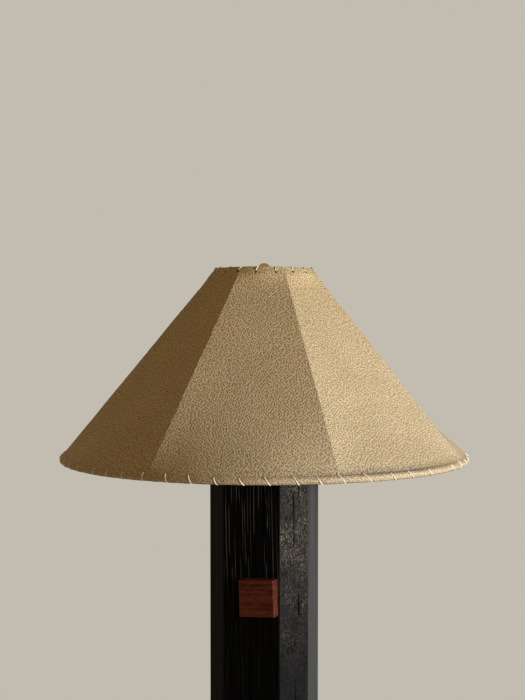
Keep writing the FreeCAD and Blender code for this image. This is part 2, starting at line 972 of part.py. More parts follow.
def rib_point(level):
    """The first rib's centre at one level."""
    start = polar(bottom_ring_diameter / 2, rib_bottom_turn, bottom_ring_level)
    end = polar(top_ring_diameter / 2, rib_top_turn, top_ring_level)
    return start + (end - start) * ((level - bottom_ring_level) / ring_spacing)


def rib_azimuth(level):
    """The first rib's azimuth at one level, in degrees."""
    point = rib_point(level)
    return math.degrees(math.atan2(point.x, -point.y))


def bottom_ring():
    """The wire in the shade's hem."""
    return Part.makeTorus(bottom_ring_diameter / 2, bottom_wire_diameter / 2, V(0, 0, bottom_ring_level))


def top_ring():
    """The wire at the shade's top."""
    return Part.makeTorus(top_ring_diameter / 2, top_wire_diameter / 2, V(0, 0, top_ring_level))


def rib_bar(grown=0.0):
    """The first rib before it is fitted to the rings; grown is the room round it."""
    start = rib_point(bottom_ring_level)
    end = rib_point(top_ring_level)
    return rod_between(rib_diameter + 2 * grown, start, end)


def shade_ribs():
    """The ribs, fitted between the two rings."""
    first = rib_bar().cut([bottom_ring(), top_ring()])
    return around(first, panel_count)


def spider_hub():
    """The washer that sits on the harp's stud."""
    bore = harp_stud_diameter + 2 * running_gap
    return tube(hub_diameter, bore, hub_thickness, hub_bottom)


def spider_arms():
    """The wires from the hub to the top ring."""
    middle = hub_bottom + hub_thickness / 2
    start = polar(hub_diameter / 2 - spider_arm_diameter / 2, 0, middle)
    end = polar(top_ring_diameter / 2, 0, top_ring_level)
    arm = rod_between(spider_arm_diameter, start, end).cut([spider_hub(), top_ring()])
    return around(arm, spider_arm_count, spider_turn)


# Skin

def stitch(radius, level, slant, reach, start, sweep, grown=0.0):
    """A stitch round a ring, at the front: a bent round thread in a plane that leans by slant degrees."""
    centre = polar(radius, 0, level)
    outward = polar(1, 0, 0)
    along = UP.cross(outward)
    lean = math.radians(slant)
    upward = UP * math.cos(lean) + along * math.sin(lean)
    turn = math.radians(start)
    first = centre + outward * (reach * math.cos(turn)) + upward * (reach * math.sin(turn))
    heading = upward * math.cos(turn) - outward * math.sin(turn)
    section = Part.Face(Part.Wire(Part.makeCircle(thread_diameter / 2 + grown, first, heading)))
    return section.revolve(centre, outward.cross(upward), sweep)


def bottom_stitches():
    """The stitches over the bead, round the hem."""
    reach = bead_diameter / 2 + bottom_stitch_reach
    first = stitch(
        bottom_ring_diameter / 2,
        bottom_ring_level,
        bottom_stitch_slant,
        reach,
        bottom_stitch_start,
        bottom_stitch_sweep,
    )
    return around(first, bottom_stitch_count, bottom_stitch_turn)


def bottom_holes():
    """The holes that the bottom stitches pass through, along the threads' own curve."""
    reach = bead_diameter / 2 + bottom_stitch_reach
    first = stitch(
        bottom_ring_diameter / 2,
        bottom_ring_level,
        bottom_stitch_slant,
        reach,
        bottom_hole_start,
        bottom_hole_sweep,
        thread_hole_gap,
    )
    return around(first, bottom_stitch_count, bottom_stitch_turn)


def top_stitches():
    """The stitches over the skin's top edge."""
    reach = top_offset() + top_stitch_reach
    first = stitch(
        top_ring_diameter / 2,
        top_ring_level,
        top_stitch_slant,
        reach,
        top_stitch_start,
        top_stitch_sweep,
    )
    return around(first, top_stitch_count, top_stitch_turn)


def top_holes():
    """The holes that the top stitches pass through."""
    reach = top_offset() + top_stitch_reach
    first = stitch(
        top_ring_diameter / 2,
        top_ring_level,
        top_stitch_slant,
        reach,
        top_hole_start,
        top_hole_sweep,
        thread_hole_gap,
    )
    return around(first, top_stitch_count, top_stitch_turn)


def skin_hem():
    """The skin rolled round the bottom ring: a bead with a short tongue that the panels join."""
    lean = slope()
    bead = bead_diameter / 2
    centre = V(bottom_ring_diameter / 2, 0, bottom_ring_level)
    square = V(math.cos(lean), 0, math.sin(lean))
    along = V(-math.sin(lean), 0, math.cos(lean))
    touch = centre + square * bead
    radius, level = tongue_top()
    outer = V(radius, 0, level)
    inner = V(radius - skin_run(), 0, level)
    inner_offset = bead - skin_thickness
    inner_foot = centre + square * inner_offset + along * math.sqrt(bead**2 - inner_offset**2)
    far_side = centre - square * bead
    edges = [
        Part.LineSegment(touch, outer).toShape(),
        Part.LineSegment(outer, inner).toShape(),
        Part.LineSegment(inner, inner_foot).toShape(),
        Part.Arc(inner_foot, far_side, touch).toShape(),
    ]
    solid = Part.Face(Part.Wire(edges)).revolve(ORIGIN, UP, FULL_TURN)
    bore = Part.makeTorus(centre.x, bottom_wire_diameter / 2 + thread_gap, V(0, 0, centre.z))
    notches = around(rib_bar(thread_gap), panel_count)
    return solid.cut([bore] + notches + bottom_holes())


def panel_section(height_share, roundness):
    """A closed level outline of the first panel: flat between its ribs, or bowed to a circle."""
    low_radius, low_level = tongue_top()
    high_radius, high_level = skin_edge()
    radius = low_radius + (high_radius - low_radius) * height_share
    level = low_level + (high_level - low_level) * height_share
    left = rib_azimuth(level)
    right = left + panel_angle
    middle = left + panel_angle / 2
    flatness = math.cos(math.radians(panel_angle / 2))
    bow = flatness + roundness * (1 - flatness)
    width = skin_run()
    corner_width = width * (roundness + (1 - roundness) / flatness)
    outer = [polar(radius, left, level), polar(radius * bow, middle, level), polar(radius, right, level)]
    inner_radius = radius - corner_width
    inner = [
        polar(inner_radius, right, level),
        polar(radius * bow - width, middle, level),
        polar(inner_radius, left, level),
    ]
    edges = [
        Part.Arc(outer[0], outer[1], outer[2]).toShape(),
        Part.LineSegment(outer[2], inner[0]).toShape(),
        Part.Arc(inner[0], inner[1], inner[2]).toShape(),
        Part.LineSegment(inner[2], outer[0]).toShape(),
    ]
    return Part.Wire(edges)


def skin_panels():
    """The panels of skin, one between each pair of ribs, pierced for the top stitches."""
    shares = zip(panel_height_shares, panel_roundness_shares)
    sections = [panel_section(height, roundness) for height, roundness in shares]
    first = Part.makeLoft(sections, True, False)
    holes = top_holes()
    pierced = []
    for panel in around(first, panel_count):
        near = [hole for hole in holes if hole.BoundBox.intersect(panel.BoundBox)]
        pierced.append(panel.cut(near))
    return pierced


# Finial

def finial():
    """The low brass knob that holds the shade down."""
    bore = harp_stud_diameter / 2 + running_gap
    depth = harp_stud_stand + slip_gap
    belly = finial_diameter / 2
    foot = finial_foot_diameter / 2
    neck = finial_neck_diameter / 2
    rise = finial_height - finial_belly_high
    dome_radius = (belly**2 + rise**2) / (2 * rise)
    dome_centre = finial_height - dome_radius
    half_sweep = math.asin(belly / dome_radius) / 2
    corners = [
        V(0, 0, depth),
        V(bore, 0, depth),
        V(bore, 0, 0),
        V(foot, 0, 0),
        V(foot, 0, finial_foot_height),
        V(neck, 0, finial_neck_height),
        V(belly, 0, finial_belly_low),
        V(belly, 0, finial_belly_high),
    ]
    crown = V(0, 0, finial_height)
    edges = []
    for start, end in zip(corners, corners[1:]):
        edges.append(Part.LineSegment(start, end).toShape())
    shoulder = V(dome_radius * math.sin(half_sweep), 0, dome_centre + dome_radius * math.cos(half_sweep))
    edges.append(Part.Arc(corners[-1], shoulder, crown).toShape())
    edges.append(Part.LineSegment(crown, corners[0]).toShape())
    solid = Part.Face(Part.Wire(edges)).revolve(ORIGIN, UP, FULL_TURN)
    solid.translate(V(0, 0, finial_bottom))
    return solid


def save(name, shape):
    """Write one piece as a STEP file."""
    shape.exportStep(os.path.join("parts", name + ".step"))


def save_all(name, shapes):
    """Write alike pieces as numbered STEP files."""
    for index, shape in enumerate(shapes):
        save(name + "_" + str(index + 1), shape)


os.makedirs("parts", exist_ok=True)

save("base_plinth", base_plinth())
save("base_glides", base_glides())
save("base_cover", base_cover())
save("base_cover_screws", base_cover_screws())
save("lead_bushing", lead_bushing())
save("column", column())
save("column_dowels", column_dowels())
save("accent_block", accent_block())
save("lamp_rod", lamp_rod())
save("rod_bottom_washer", rod_bottom_washer())
save("rod_bottom_nut", rod_bottom_nut())
save("column_cap", column_cap())
save("rod_top_nut", rod_top_nut())
save("neck_tube", neck_tube())
save("harp_saddle", harp_saddle())
save("harp_wire", harp_wire())
save("harp_stud", harp_stud())
save("harp_sleeve_left", harp_sleeve(-1))
save("harp_sleeve_right", harp_sleeve(1))
save("socket_cap", socket_cap())
save("socket_shell", socket_shell())
save("socket_liner", socket_liner())
save("socket_interior", socket_interior())
save("terminal_screws", terminal_screws())
save("screw_shell", screw_shell())
save("centre_contact", centre_contact())
save("switch_stem", switch_stem())
save("switch_knob", switch_knob())
save("bulb_base", bulb_base())
save("bulb_insulator", bulb_insulator())
save("bulb_contact", bulb_contact())
save("bulb_glass", bulb_glass())
save("bulb_stem", bulb_stem())
save("bulb_filament", bulb_filament())
save("shade_bottom_ring", bottom_ring())
save("shade_top_ring", top_ring())
save_all("shade_rib", shade_ribs())
save("spider_hub", spider_hub())
save_all("spider_arm", spider_arms())
save("skin_hem", skin_hem())
save_all("skin_panel", skin_panels())
save("bottom_lacing", group(bottom_stitches()))
save("top_lacing", group(top_stitches()))
save("finial", finial())
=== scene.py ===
"""Looks of a floor lamp: an ebonised oak column with a red block, under a laced hide shade on a harp."""

import logging
import math
from dataclasses import dataclass, field, replace
from enum import Enum, IntEnum
from typing import Any, Callable

import bmesh
import bpy
import numpy as np
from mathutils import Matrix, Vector


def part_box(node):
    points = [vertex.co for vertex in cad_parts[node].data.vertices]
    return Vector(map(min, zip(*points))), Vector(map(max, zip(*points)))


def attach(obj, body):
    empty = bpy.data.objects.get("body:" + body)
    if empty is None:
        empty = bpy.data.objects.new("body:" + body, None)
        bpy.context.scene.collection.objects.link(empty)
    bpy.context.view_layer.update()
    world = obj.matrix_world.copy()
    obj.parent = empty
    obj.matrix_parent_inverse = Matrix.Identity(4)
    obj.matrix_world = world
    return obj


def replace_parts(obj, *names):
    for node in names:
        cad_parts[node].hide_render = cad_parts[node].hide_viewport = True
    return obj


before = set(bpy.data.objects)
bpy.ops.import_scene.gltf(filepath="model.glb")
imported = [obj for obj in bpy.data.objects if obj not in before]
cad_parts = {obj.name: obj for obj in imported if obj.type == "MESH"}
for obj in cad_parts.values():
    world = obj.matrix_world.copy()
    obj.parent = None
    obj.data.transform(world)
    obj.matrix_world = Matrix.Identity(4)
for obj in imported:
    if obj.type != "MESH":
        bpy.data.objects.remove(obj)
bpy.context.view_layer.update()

Array = np.ndarray
Socket = bpy.types.NodeSocket
Tree = bpy.types.NodeTree

LOG = logging.getLogger("floor_lamp")
MM = 0.001
NOISE_CELLS = 48
SHARP_EDGE = math.radians(48)


class Field(IntEnum):
    """Which random field makes each unevenness, so that no two of them run alike."""

    BROAD_SWELL = 11
    FINE_SWELL = 12
    CREASE = 13
    GATHERS = 14
    TIGHTNESS = 15
    LUMPS = 21
    FINE_LUMPS = 22
    CUT_EDGE = 31
    FINE_GROOVES = 41
    BROAD_GROOVES = 42
    PEBBLES = 43
    KNOBS = 44
    RIDGE_SWAY = 45
    RIDGE_BREAKS = 46


def linear(colour: str) -> tuple[float, float, float, float]:
    """Turn an sRGB hex colour to linear light.

    Args:
        colour: The colour, as #RRGGBB.

    Returns:
        Red, green, blue and a full alpha.
    """
    channels = [int(colour[start:start + 2], 16) / 255 for start in (1, 3, 5)]
    lit = [c / 12.92 if c <= 0.04045 else ((c + 0.055) / 1.055) ** 2.4 for c in channels]
    return (lit[0], lit[1], lit[2], 1.0)


def add_node(
    tree: Tree, kind: str, inputs: dict[Any, Any] | None = None, pick: int | str = 0, **settings: Any
) -> Socket | None:
    """Add one shader node with its settings and links.

    In a MapRange, input 0 is mapped from 1 and 2 to 3 and 4. In a Mix, 0 is the share of 7 over 6.

    Args:
        tree: The material's or the world's nodes.
        kind: The node's type, without its ShaderNode prefix.
        inputs: Values or output sockets, by the input's name or number.
        pick: The output to give back, by its name or number.
        settings: Properties of the node itself.

    Returns:
        The output, or None where the node has none.
    """
    node = tree.nodes.new("ShaderNode" + kind)
    for name, value in settings.items():
        setattr(node, name, value)
    for key, value in (inputs or {}).items():
        if isinstance(value, bpy.types.NodeSocket):
            tree.links.new(value, node.inputs[key])
        else:
            node.inputs[key].default_value = value
    return node.outputs[pick] if node.outputs else None


def soft_noise(points: Array, seed: int) -> Array:
    """Give a smooth random field in space, the same at each run.

    Args:
        points: Places, with three numbers in the last axis. One unit is one lump of the field.
        seed: Which field.

    Returns:
        One number per place, from -1 to 1.
    """
    cells = np.floor(points).astype(np.int64)
    share = points - cells
    share = share * share * (3 - 2 * share)
    table = np.random.default_rng(seed).uniform(-1, 1, (NOISE_CELLS,) * 3)
    total = np.zeros(points.shape[:-1])
    for corner in np.ndindex(2, 2, 2):
        weight = np.prod(np.where(np.array(corner) == 1, share, 1 - share), axis=-1)
        index = (cells + corner) % NOISE_CELLS
        total += weight * table[index[..., 0], index[..., 1], index[..., 2]]
    return total


def layered_noise(points: Array, layers: tuple[tuple[float, float, int], ...]) -> Array:
    """Add up soft fields.

    Args:
        points: Places, in metres.
        layers: Each field's height, its spacing in millimetres, and which field it is.

    Returns:
        One number per place.
    """
    return sum(height * soft_noise(points / (spacing * MM), seed) for height, spacing, seed in layers)


def bell(distance: Array, width: float) -> Array:
    """Give a smooth bump: 1 at no distance, and nearly 0 from twice the width on.

    Args:
        distance: How far each place is from the middle.
        width: Where the bump has fallen to about a third, in the same unit.

    Returns:
        One number per place.
    """
    return np.exp(-(distance / width) ** 2)


def both_sides(steps: tuple[float, ...]) -> Array:
    """List some steps to both sides of a middle one.

    Args:
        steps: The steps to one side, the smallest first.

    Returns:
        The same to the other side, none, and the steps.
    """
    return np.array([-step for step in reversed(steps)] + [0.0, *steps])


def grid_faces(rows: int, columns: int, closed: bool) -> Array:
    """List the quads of a grid whose last row joins its first one.

    Args:
        rows: How many rows of points there are.
        columns: How many points each row has.
        closed: Whether the last column joins the first one too.

    Returns:
        Four point numbers for each face.
    """
    row = np.arange(rows)[:, None]
    column = np.arange(columns if closed else columns - 1)[None, :]
    after, beside = (row + 1) % rows, (column + 1) % columns
    corners = ((row, column), (row, beside), (after, beside), (after, column))
    quads = np.broadcast_arrays(*(across * columns + along for across, along in corners))
    return np.stack(quads, axis=-1).reshape(-1, 4)


def add_piece(
    name: str,
    points: Array,
    faces: list[list[int]],
    materials: list[bpy.types.Material],
    patches: Array | None = None,
    marks: dict[str, Array] | None = None,
    sharp: bool = True,
) -> bpy.types.Object:
    """Make a mesh object with smooth faces that look outward.

    Args:
        name: The piece's name.
        points: Its points, in metres.
        faces: Point numbers of each face.
        materials: Its finishes.
        patches: Which finish each face has, or None for the first one.
        marks: Values for each point that the finishes read, by their names.
        sharp: Whether edges past a set angle stay crisp.

    Returns:
        The new object, in the scene.
    """
    mesh = bpy.data.meshes.new(name)
    mesh.from_pydata(points.reshape(-1, 3).tolist(), [], faces)
    for material in materials:
        mesh.materials.append(material)
    if patches is not None:
        mesh.polygons.foreach_set("material_index", patches.astype(np.int32))
    for label, values in (marks or {}).items():
        layer = mesh.attributes.new(label, "FLOAT_VECTOR", "POINT")
        layer.data.foreach_set("vector", values.reshape(-1).astype(np.float32))
    shell = bmesh.new()
    shell.from_mesh(mesh)
    bmesh.ops.recalc_face_normals(shell, faces=shell.faces)
    shell.to_mesh(mesh)
    shell.free()
    mesh.shade_smooth()
    if sharp:
        mesh.set_sharp_from_angle(angle=SHARP_EDGE)
    piece = bpy.data.objects.new(name, mesh)
    bpy.context.scene.collection.objects.link(piece)
    LOG.info("%s: %d points, %d faces", name, len(mesh.vertices), len(mesh.polygons))
    return piece


@dataclass(frozen=True)
class Finish:
    """A plain surface; the finishes below add their own patterns to it."""

    name: str
    colour: str
    roughness: float
    metallic: float = 0.0
    specular: float = 0.5

    def build(self) -> bpy.types.Material:
        """Make the material.

        Returns:
            The new material, with its nodes linked.
        """
        material = bpy.data.materials.new(self.name)
        material.use_nodes = True
        tree = material.node_tree
        tree.nodes.clear()
        add_node(tree, "OutputMaterial", {"Surface": add_node(tree, "BsdfPrincipled", self.surface(tree))})
        material.diffuse_color = linear(self.colour)
        return material

    def surface(self, tree: Tree) -> dict[str, Any]:
        """Give the shader's inputs.

        Args:
            tree: The material's nodes.

        Returns:
            Values and output sockets, by the names of the shader's inputs.
        """
        return {
            "Base Color": linear(self.colour),
            "Roughness": self.roughness,
            "Metallic": self.metallic,
            "Specular IOR Level": self.specular,
        }


@dataclass(frozen=True)
class Spots:
    """Round spots scattered over the hide, of sizes from the least to the most, in spacings."""

    spacing: float
    scatter: float
    least: float
    most: float
    core: float
    smallest_share: float = 0.0

    def build(self, tree: Tree, place: Socket) -> Socket:
        """Add the spots.

        Args:
            tree: The material's nodes.
            place: Where on the flat hide a point lies.

        Returns:
            How far inside a spot the point is, from 0 to 1.
        """
        inputs = {"Vector": place, "Scale": 1 / self.spacing, "Randomness": self.scatter}
        reach = add_node(tree, "TexVoronoi", inputs, "Distance", voronoi_dimensions="2D")
        chance = add_node(tree, "SeparateColor", {0: reach.node.outputs["Color"]})
        sizes = {0: chance, 1: self.smallest_share, 3: self.least, 4: self.most}
        edge = add_node(tree, "MapRange", sizes)
        inputs = {0: reach, 1: edge, 2: self.core, 3: 0.0, 4: 1.0}
        return add_node(tree, "MapRange", inputs, interpolation_type="SMOOTHSTEP")


@dataclass(frozen=True)
class PebbledHide(Finish):
    """Vegetable-tanned hide, grain side out: close rows of small pits, and soft clouds of tan and olive."""

    # Painted light: the paler tone that the hide takes towards the bottom ring, for the light that reaches
    # its lower part.
    painted_low_colour: str = "#D6BE95"
    cloud_colour: str = "#C2AC7C"
    pit_colour: str = "#4E3A1E"
    crest_colour: str = "#EAD8AC"
    # Painted shade: the near-black that darkens the folds over the bead, the holes' mouths and the underside
    # of the bead.
    painted_shade_colour: str = "#1E1208"
    roll_colour: str = "#C6A982"
    roll_share: float = 0.35
    pits: Spots = Spots(3.2 * MM, 0.72, 0.38, 0.56, 0.1)
    pit_share: float = 0.58
    pores: Spots = Spots(9.0 * MM, 0.95, 0.02, 0.16, 0.02, 0.3)
    fleck_spacing: float = 1.95 * MM
    cloud_spacing: float = 62 * MM
    drift_spacing: float = 16 * MM
    drift: float = 2.0 * MM
    relief: float = 0.34 * MM
    # Where that painted light begins and where it is full, along the slant from the top.
    painted_light_top_slant: float = 110 * MM
    painted_light_low_slant: float = 400 * MM

    def surface(self, tree: Tree) -> dict[str, Any]:
        """Give the shader's inputs: the grain's pits, clouds of tan, painted light that pales the hide
        towards the bottom, and painted shade at the lacing.

        Args:
            tree: The material's nodes.

        Returns:
            Values and output sockets, by the names of the shader's inputs.
        """
        flat = add_node(tree, "Attribute", pick="Vector", attribute_name="hide_flat")
        marks = add_node(tree, "Attribute", pick="Vector", attribute_name="hide_marks")
        # The marks: painted shade, wear along the ribs, and how much is bead.
        painted_shade, wear, roll = add_node(tree, "SeparateXYZ", {0: marks}).node.outputs
        # The grain drifts, as skin does round the limbs, so its pits never stand in straight rows.
        inputs = {"Vector": flat, "Scale": 1 / self.drift_spacing, "Detail": 1.0}
        sway = add_node(tree, "TexNoise", inputs, "Color", noise_dimensions="2D")
        inputs = {0: sway, 1: (self.drift,) * 3, 2: flat}
        place = add_node(tree, "VectorMath", inputs, operation="MULTIPLY_ADD")
        pit = self.pits.build(tree, place)
        pore = self.pores.build(tree, flat)
        # The pits run together in places, and grains between them stand out pale.
        inputs = {"Vector": flat, "Scale": 1 / self.fleck_spacing, "Detail": 1.0, "Roughness": 0.6}
        fleck = add_node(tree, "TexNoise", inputs, noise_dimensions="2D")
        joined = add_node(tree, "MapRange", {0: fleck, 1: 0.46, 2: 0.26, 3: 0.0, 4: 0.6})
        pit = add_node(tree, "Math", {0: pit, 1: joined}, operation="MAXIMUM")
        pale = add_node(tree, "MapRange", {0: fleck, 1: 0.46, 2: 0.7, 3: 0.0, 4: 0.55})
        pale = add_node(tree, "Math", {0: pale, 1: wear}, operation="MAXIMUM")
        inputs = {"Vector": flat, "Scale": 1 / self.cloud_spacing, "Detail": 3.0, "Roughness": 0.5}
        cloud = add_node(tree, "TexNoise", inputs, noise_dimensions="2D")
        cloud = add_node(tree, "MapRange", {0: cloud, 1: 0.32, 2: 0.68, 3: 0.0, 4: 0.5})
        # Painted light: the hide is painted paler towards the bottom.
        slant = add_node(tree, "VectorMath", {0: flat}, "Value", operation="LENGTH")
        low = add_node(tree, "MapRange", {0: slant, 1: self.painted_light_top_slant, 2: self.painted_light_low_slant})
        rolled = add_node(tree, "Math", {0: roll, 1: self.roll_share}, operation="MULTIPLY")
        shaded = add_node(tree, "Math", {0: pit, 1: self.pit_share}, operation="MULTIPLY")
        shaded = add_node(tree, "Math", {0: shaded, 1: pore}, operation="MAXIMUM")
        colour: Any = linear(self.colour)
        for share, tone in (
            (low, self.painted_low_colour),
            (cloud, self.cloud_colour),
            (pale, self.crest_colour),
            (rolled, self.roll_colour),
            (shaded, self.pit_colour),
            (painted_shade, self.painted_shade_colour),
        ):
            colour = add_node(tree, "Mix", {0: share, 6: colour, 7: linear(tone)}, 2, data_type="RGBA")
        height = add_node(tree, "Math", {0: fleck, 1: 0.4}, operation="MULTIPLY")
        for hollow in (pit, pore):
            height = add_node(tree, "Math", {0: height, 1: hollow}, operation="SUBTRACT")
        # On the bead the hide is stretched, and its grain is shallower.
        firm = add_node(tree, "MapRange", {0: roll, 3: 0.8, 4: 0.55})
        bump = add_node(tree, "Bump", {"Height": height, "Distance": self.relief, "Strength": firm})
        return super().surface(tree) | {"Base Color": colour, "Normal": bump}


@dataclass(frozen=True)
class FleshSide(Finish):
    """The hide's other side, split and buffed: a dull nap with loose fibres."""

    fibre_colour: str = "#8E7448"
    # The fibres of a buffed nap are finer than half a millimetre. They are drawn coarser, so as to show.
    fibre_spacing: float = 1.6 * MM
    fibre_depth: float = 0.3 * MM

    def surface(self, tree: Tree) -> dict[str, Any]:
        """Give the shader's inputs: a fibrous nap.

        Args:
            tree: The material's nodes.

        Returns:
            Values and output sockets, by the names of the shader's inputs.
        """
        place = add_node(tree, "TexCoord", pick="Object")
        inputs = {"Vector": place, "Scale": 1 / self.fibre_spacing, "Detail": 5.0, "Distortion": 1.5}
        nap = add_node(tree, "TexNoise", inputs)
        inputs = {0: nap, 6: linear(self.colour), 7: linear(self.fibre_colour)}
        colour = add_node(tree, "Mix", inputs, 2, data_type="RGBA")
        bump = add_node(tree, "Bump", {"Height": nap, "Distance": self.fibre_depth, "Strength": 0.6})
        return super().surface(tree) | {"Base Color": colour, "Normal": bump}


@dataclass(frozen=True)
class EbonisedTimber(Finish):
    """Oak stained black: the grain runs in streaks, and the brushed pores are darker than the ridges."""

    pore_colour: str = "#020202"
    dust_colour: str = "#6B6459"
    # Painted shade: the darker tone that the column takes lower down.
    painted_low_colour: str = "#050505"
    # The colour of the painted glints on the brushed ridges.
    crest_colour: str = "#655F57"
    dust: float = 0.2
    patches: float = 0.0
    grain_width: float = 2.2 * MM
    grain_length: float = 130 * MM
    grain_depth: float = 0.5 * MM
    speck_spacing: float = 2.4 * MM
    patch_spacing: float = 45 * MM
    along_x: bool = False

    def surface(self, tree: Tree) -> dict[str, Any]:
        """Give the shader's inputs: long streaks of grain, specks and dust, painted glints on the ridges,
        painted shade lower down, and dark hollows.

        Args:
            tree: The material's nodes.

        Returns:
            Values and output sockets, by the names of the shader's inputs.
        """
        place = add_node(tree, "TexCoord", pick="Object")
        across, along = 1 / self.grain_width, 1 / self.grain_length
        scale = (along, across, across) if self.along_x else (across, across, along)
        stretched = add_node(tree, "Mapping", {"Vector": place, "Scale": scale})
        inputs = {"Vector": stretched, "Scale": 1.0, "Detail": 4.0, "Roughness": 0.6}
        grain = add_node(tree, "TexNoise", inputs)
        inputs = {"Vector": place, "Scale": 1 / self.speck_spacing, "Detail": 4.0, "Roughness": 0.75}
        speck = add_node(tree, "TexNoise", inputs)
        patch = add_node(tree, "TexNoise", {"Vector": place, "Scale": 1 / self.patch_spacing, "Detail": 2.0})
        patch = add_node(tree, "MapRange", {0: patch, 1: 0.4, 2: 0.62, 3: 1.0 - self.patches, 4: 1.0})
        relief = add_node(tree, "Attribute", pick="Vector", attribute_name="relief")
        # The marks: dark hollows, painted glints on the ridges, and painted shade lower down.
        hollow, crest, thick = add_node(tree, "SeparateXYZ", {0: relief}).node.outputs
        streak = add_node(tree, "MapRange", {0: grain, 1: 0.35, 2: 0.65})
        dusty = add_node(tree, "MapRange", {0: speck, 1: 0.5, 2: 0.68, 3: 0.0, 4: self.dust})
        dusty = add_node(tree, "Math", {0: dusty, 1: patch}, operation="MULTIPLY")
        colour: Any = linear(self.pore_colour)
        for share, tone in (
            (streak, self.colour),
            (dusty, self.dust_colour),
            (thick, self.painted_low_colour),
            (crest, self.crest_colour),
            (hollow, self.pore_colour),
        ):
            colour = add_node(tree, "Mix", {0: share, 6: colour, 7: linear(tone)}, 2, data_type="RGBA")
        height = add_node(tree, "Math", {0: grain, 1: speck}, operation="ADD")
        bump = add_node(tree, "Bump", {"Height": height, "Distance": self.grain_depth, "Strength": 0.7})
        rough = {0: grain, 1: 0.3, 2: 0.7, 3: min(self.roughness + 0.12, 1.0), 4: self.roughness - 0.06}
        return super().surface(tree) | {
            "Base Color": colour,
            "Roughness": add_node(tree, "MapRange", rough),
            "Normal": bump,
        }


@dataclass(frozen=True)
class OiledTimber(Finish):
    """Close-grained wood with a satin oil: bands of darker growth that bend a little."""

    band_colour: str = "#4A1A0C"
    pale_colour: str = "#A9552F"
    band_spacing: float = 5.0 * MM
    band_length: float = 60 * MM
    pore_depth: float = 0.15 * MM
    along_x: bool = True

    def surface(self, tree: Tree) -> dict[str, Any]:
        """Give the shader's inputs: bands of growth and fine short pores along them.

        Args:
            tree: The material's nodes.

        Returns:
            Values and output sockets, by the names of the shader's inputs.
        """
        place = add_node(tree, "TexCoord", pick="Object")
        across, along = 1 / self.band_spacing, 1 / self.band_length
        scale = (along, across, across) if self.along_x else (across, across, along)
        stretched = add_node(tree, "Mapping", {"Vector": place, "Scale": scale})
        inputs = {"Vector": stretched, "Scale": 1.0, "Detail": 3.0, "Distortion": 0.35}
        band = add_node(tree, "TexNoise", inputs)
        pores = add_node(tree, "TexNoise", {"Vector": stretched, "Scale": 6.0, "Detail": 2.0})
        dark = add_node(tree, "MapRange", {0: band, 1: 0.4, 2: 0.6})
        pale = add_node(tree, "MapRange", {0: pores, 1: 0.5, 2: 0.75, 3: 0.0, 4: 0.5})
        colour: Any = linear(self.band_colour)
        for share, tone in ((dark, self.colour), (pale, self.pale_colour)):
            colour = add_node(tree, "Mix", {0: share, 6: colour, 7: linear(tone)}, 2, data_type="RGBA")
        bump = add_node(tree, "Bump", {"Height": pores, "Distance": self.pore_depth, "Strength": 0.5})
        return super().surface(tree) | {"Base Color": colour, "Normal": bump}


@dataclass(frozen=True)
class WorkedMetal(Finish):
    """Metal that was turned, drawn or plated: fine tool lines round its axis, and a thin uneven patina."""

    metallic: float = 1.0
    patina_colour: str = "#5A4522"
    patina: float = 0.35
    patina_spacing: float = 7 * MM
    # Real tool lines are about a tenth of a millimetre apart. They are drawn coarser, so as to show.
    line_spacing: float = 0.5 * MM
    line_depth: float = 0.02 * MM

    def surface(self, tree: Tree) -> dict[str, Any]:
        """Give the shader's inputs: patina in its colour, tool lines in its roughness and relief.

        Args:
            tree: The material's nodes.

        Returns:
            Values and output sockets, by the names of the shader's inputs.
        """
        place = add_node(tree, "TexCoord", pick="Object")
        film = add_node(tree, "TexNoise", {"Vector": place, "Scale": 1 / self.patina_spacing, "Detail": 5.0})
        level = add_node(tree, "Mapping", {"Vector": place, "Scale": (1.0, 1.0, 1 / self.line_spacing)})
        lines = add_node(tree, "TexNoise", {"Vector": level, "Scale": 1.0, "Detail": 1.0})
        share = add_node(tree, "MapRange", {0: film, 1: 0.45, 2: 0.75, 3: 0.0, 4: self.patina})
        inputs = {0: share, 6: linear(self.colour), 7: linear(self.patina_colour)}
        colour = add_node(tree, "Mix", inputs, 2, data_type="RGBA")
        rough = {0: film, 1: 0.3, 2: 0.8, 3: self.roughness, 4: min(self.roughness + 0.25, 1.0)}
        return super().surface(tree) | {
            "Base Color": colour,
            "Roughness": add_node(tree, "MapRange", rough),
            "Normal": add_node(tree, "Bump", {"Height": lines, "Distance": self.line_depth, "Strength": 0.4}),
        }


@dataclass(frozen=True)
class MatteFinish(Finish):
    """Moulded plastic, pressed board or paper: a fine even grain with slight changes of tone."""

    tone_colour: str = "#000000"
    tone: float = 0.2
    # A moulded or pressed grain is about 0.2 mm. It is drawn coarser, so as to show.
    grain_spacing: float = 0.9 * MM
    grain_depth: float = 0.06 * MM

    def surface(self, tree: Tree) -> dict[str, Any]:
        """Give the shader's inputs: mottled tone and fine grain.

        Args:
            tree: The material's nodes.

        Returns:
            Values and output sockets, by the names of the shader's inputs.
        """
        place = add_node(tree, "TexCoord", pick="Object")
        grain = add_node(tree, "TexNoise", {"Vector": place, "Scale": 1 / self.grain_spacing, "Detail": 4.0})
        share = add_node(tree, "MapRange", {0: grain, 1: 0.4, 2: 0.8, 3: 0.0, 4: self.tone})
        inputs = {0: share, 6: linear(self.colour), 7: linear(self.tone_colour)}
        colour = add_node(tree, "Mix", inputs, 2, data_type="RGBA")
        bump = add_node(tree, "Bump", {"Height": grain, "Distance": self.grain_depth, "Strength": 0.6})
        return super().surface(tree) | {"Base Color": colour, "Normal": bump}


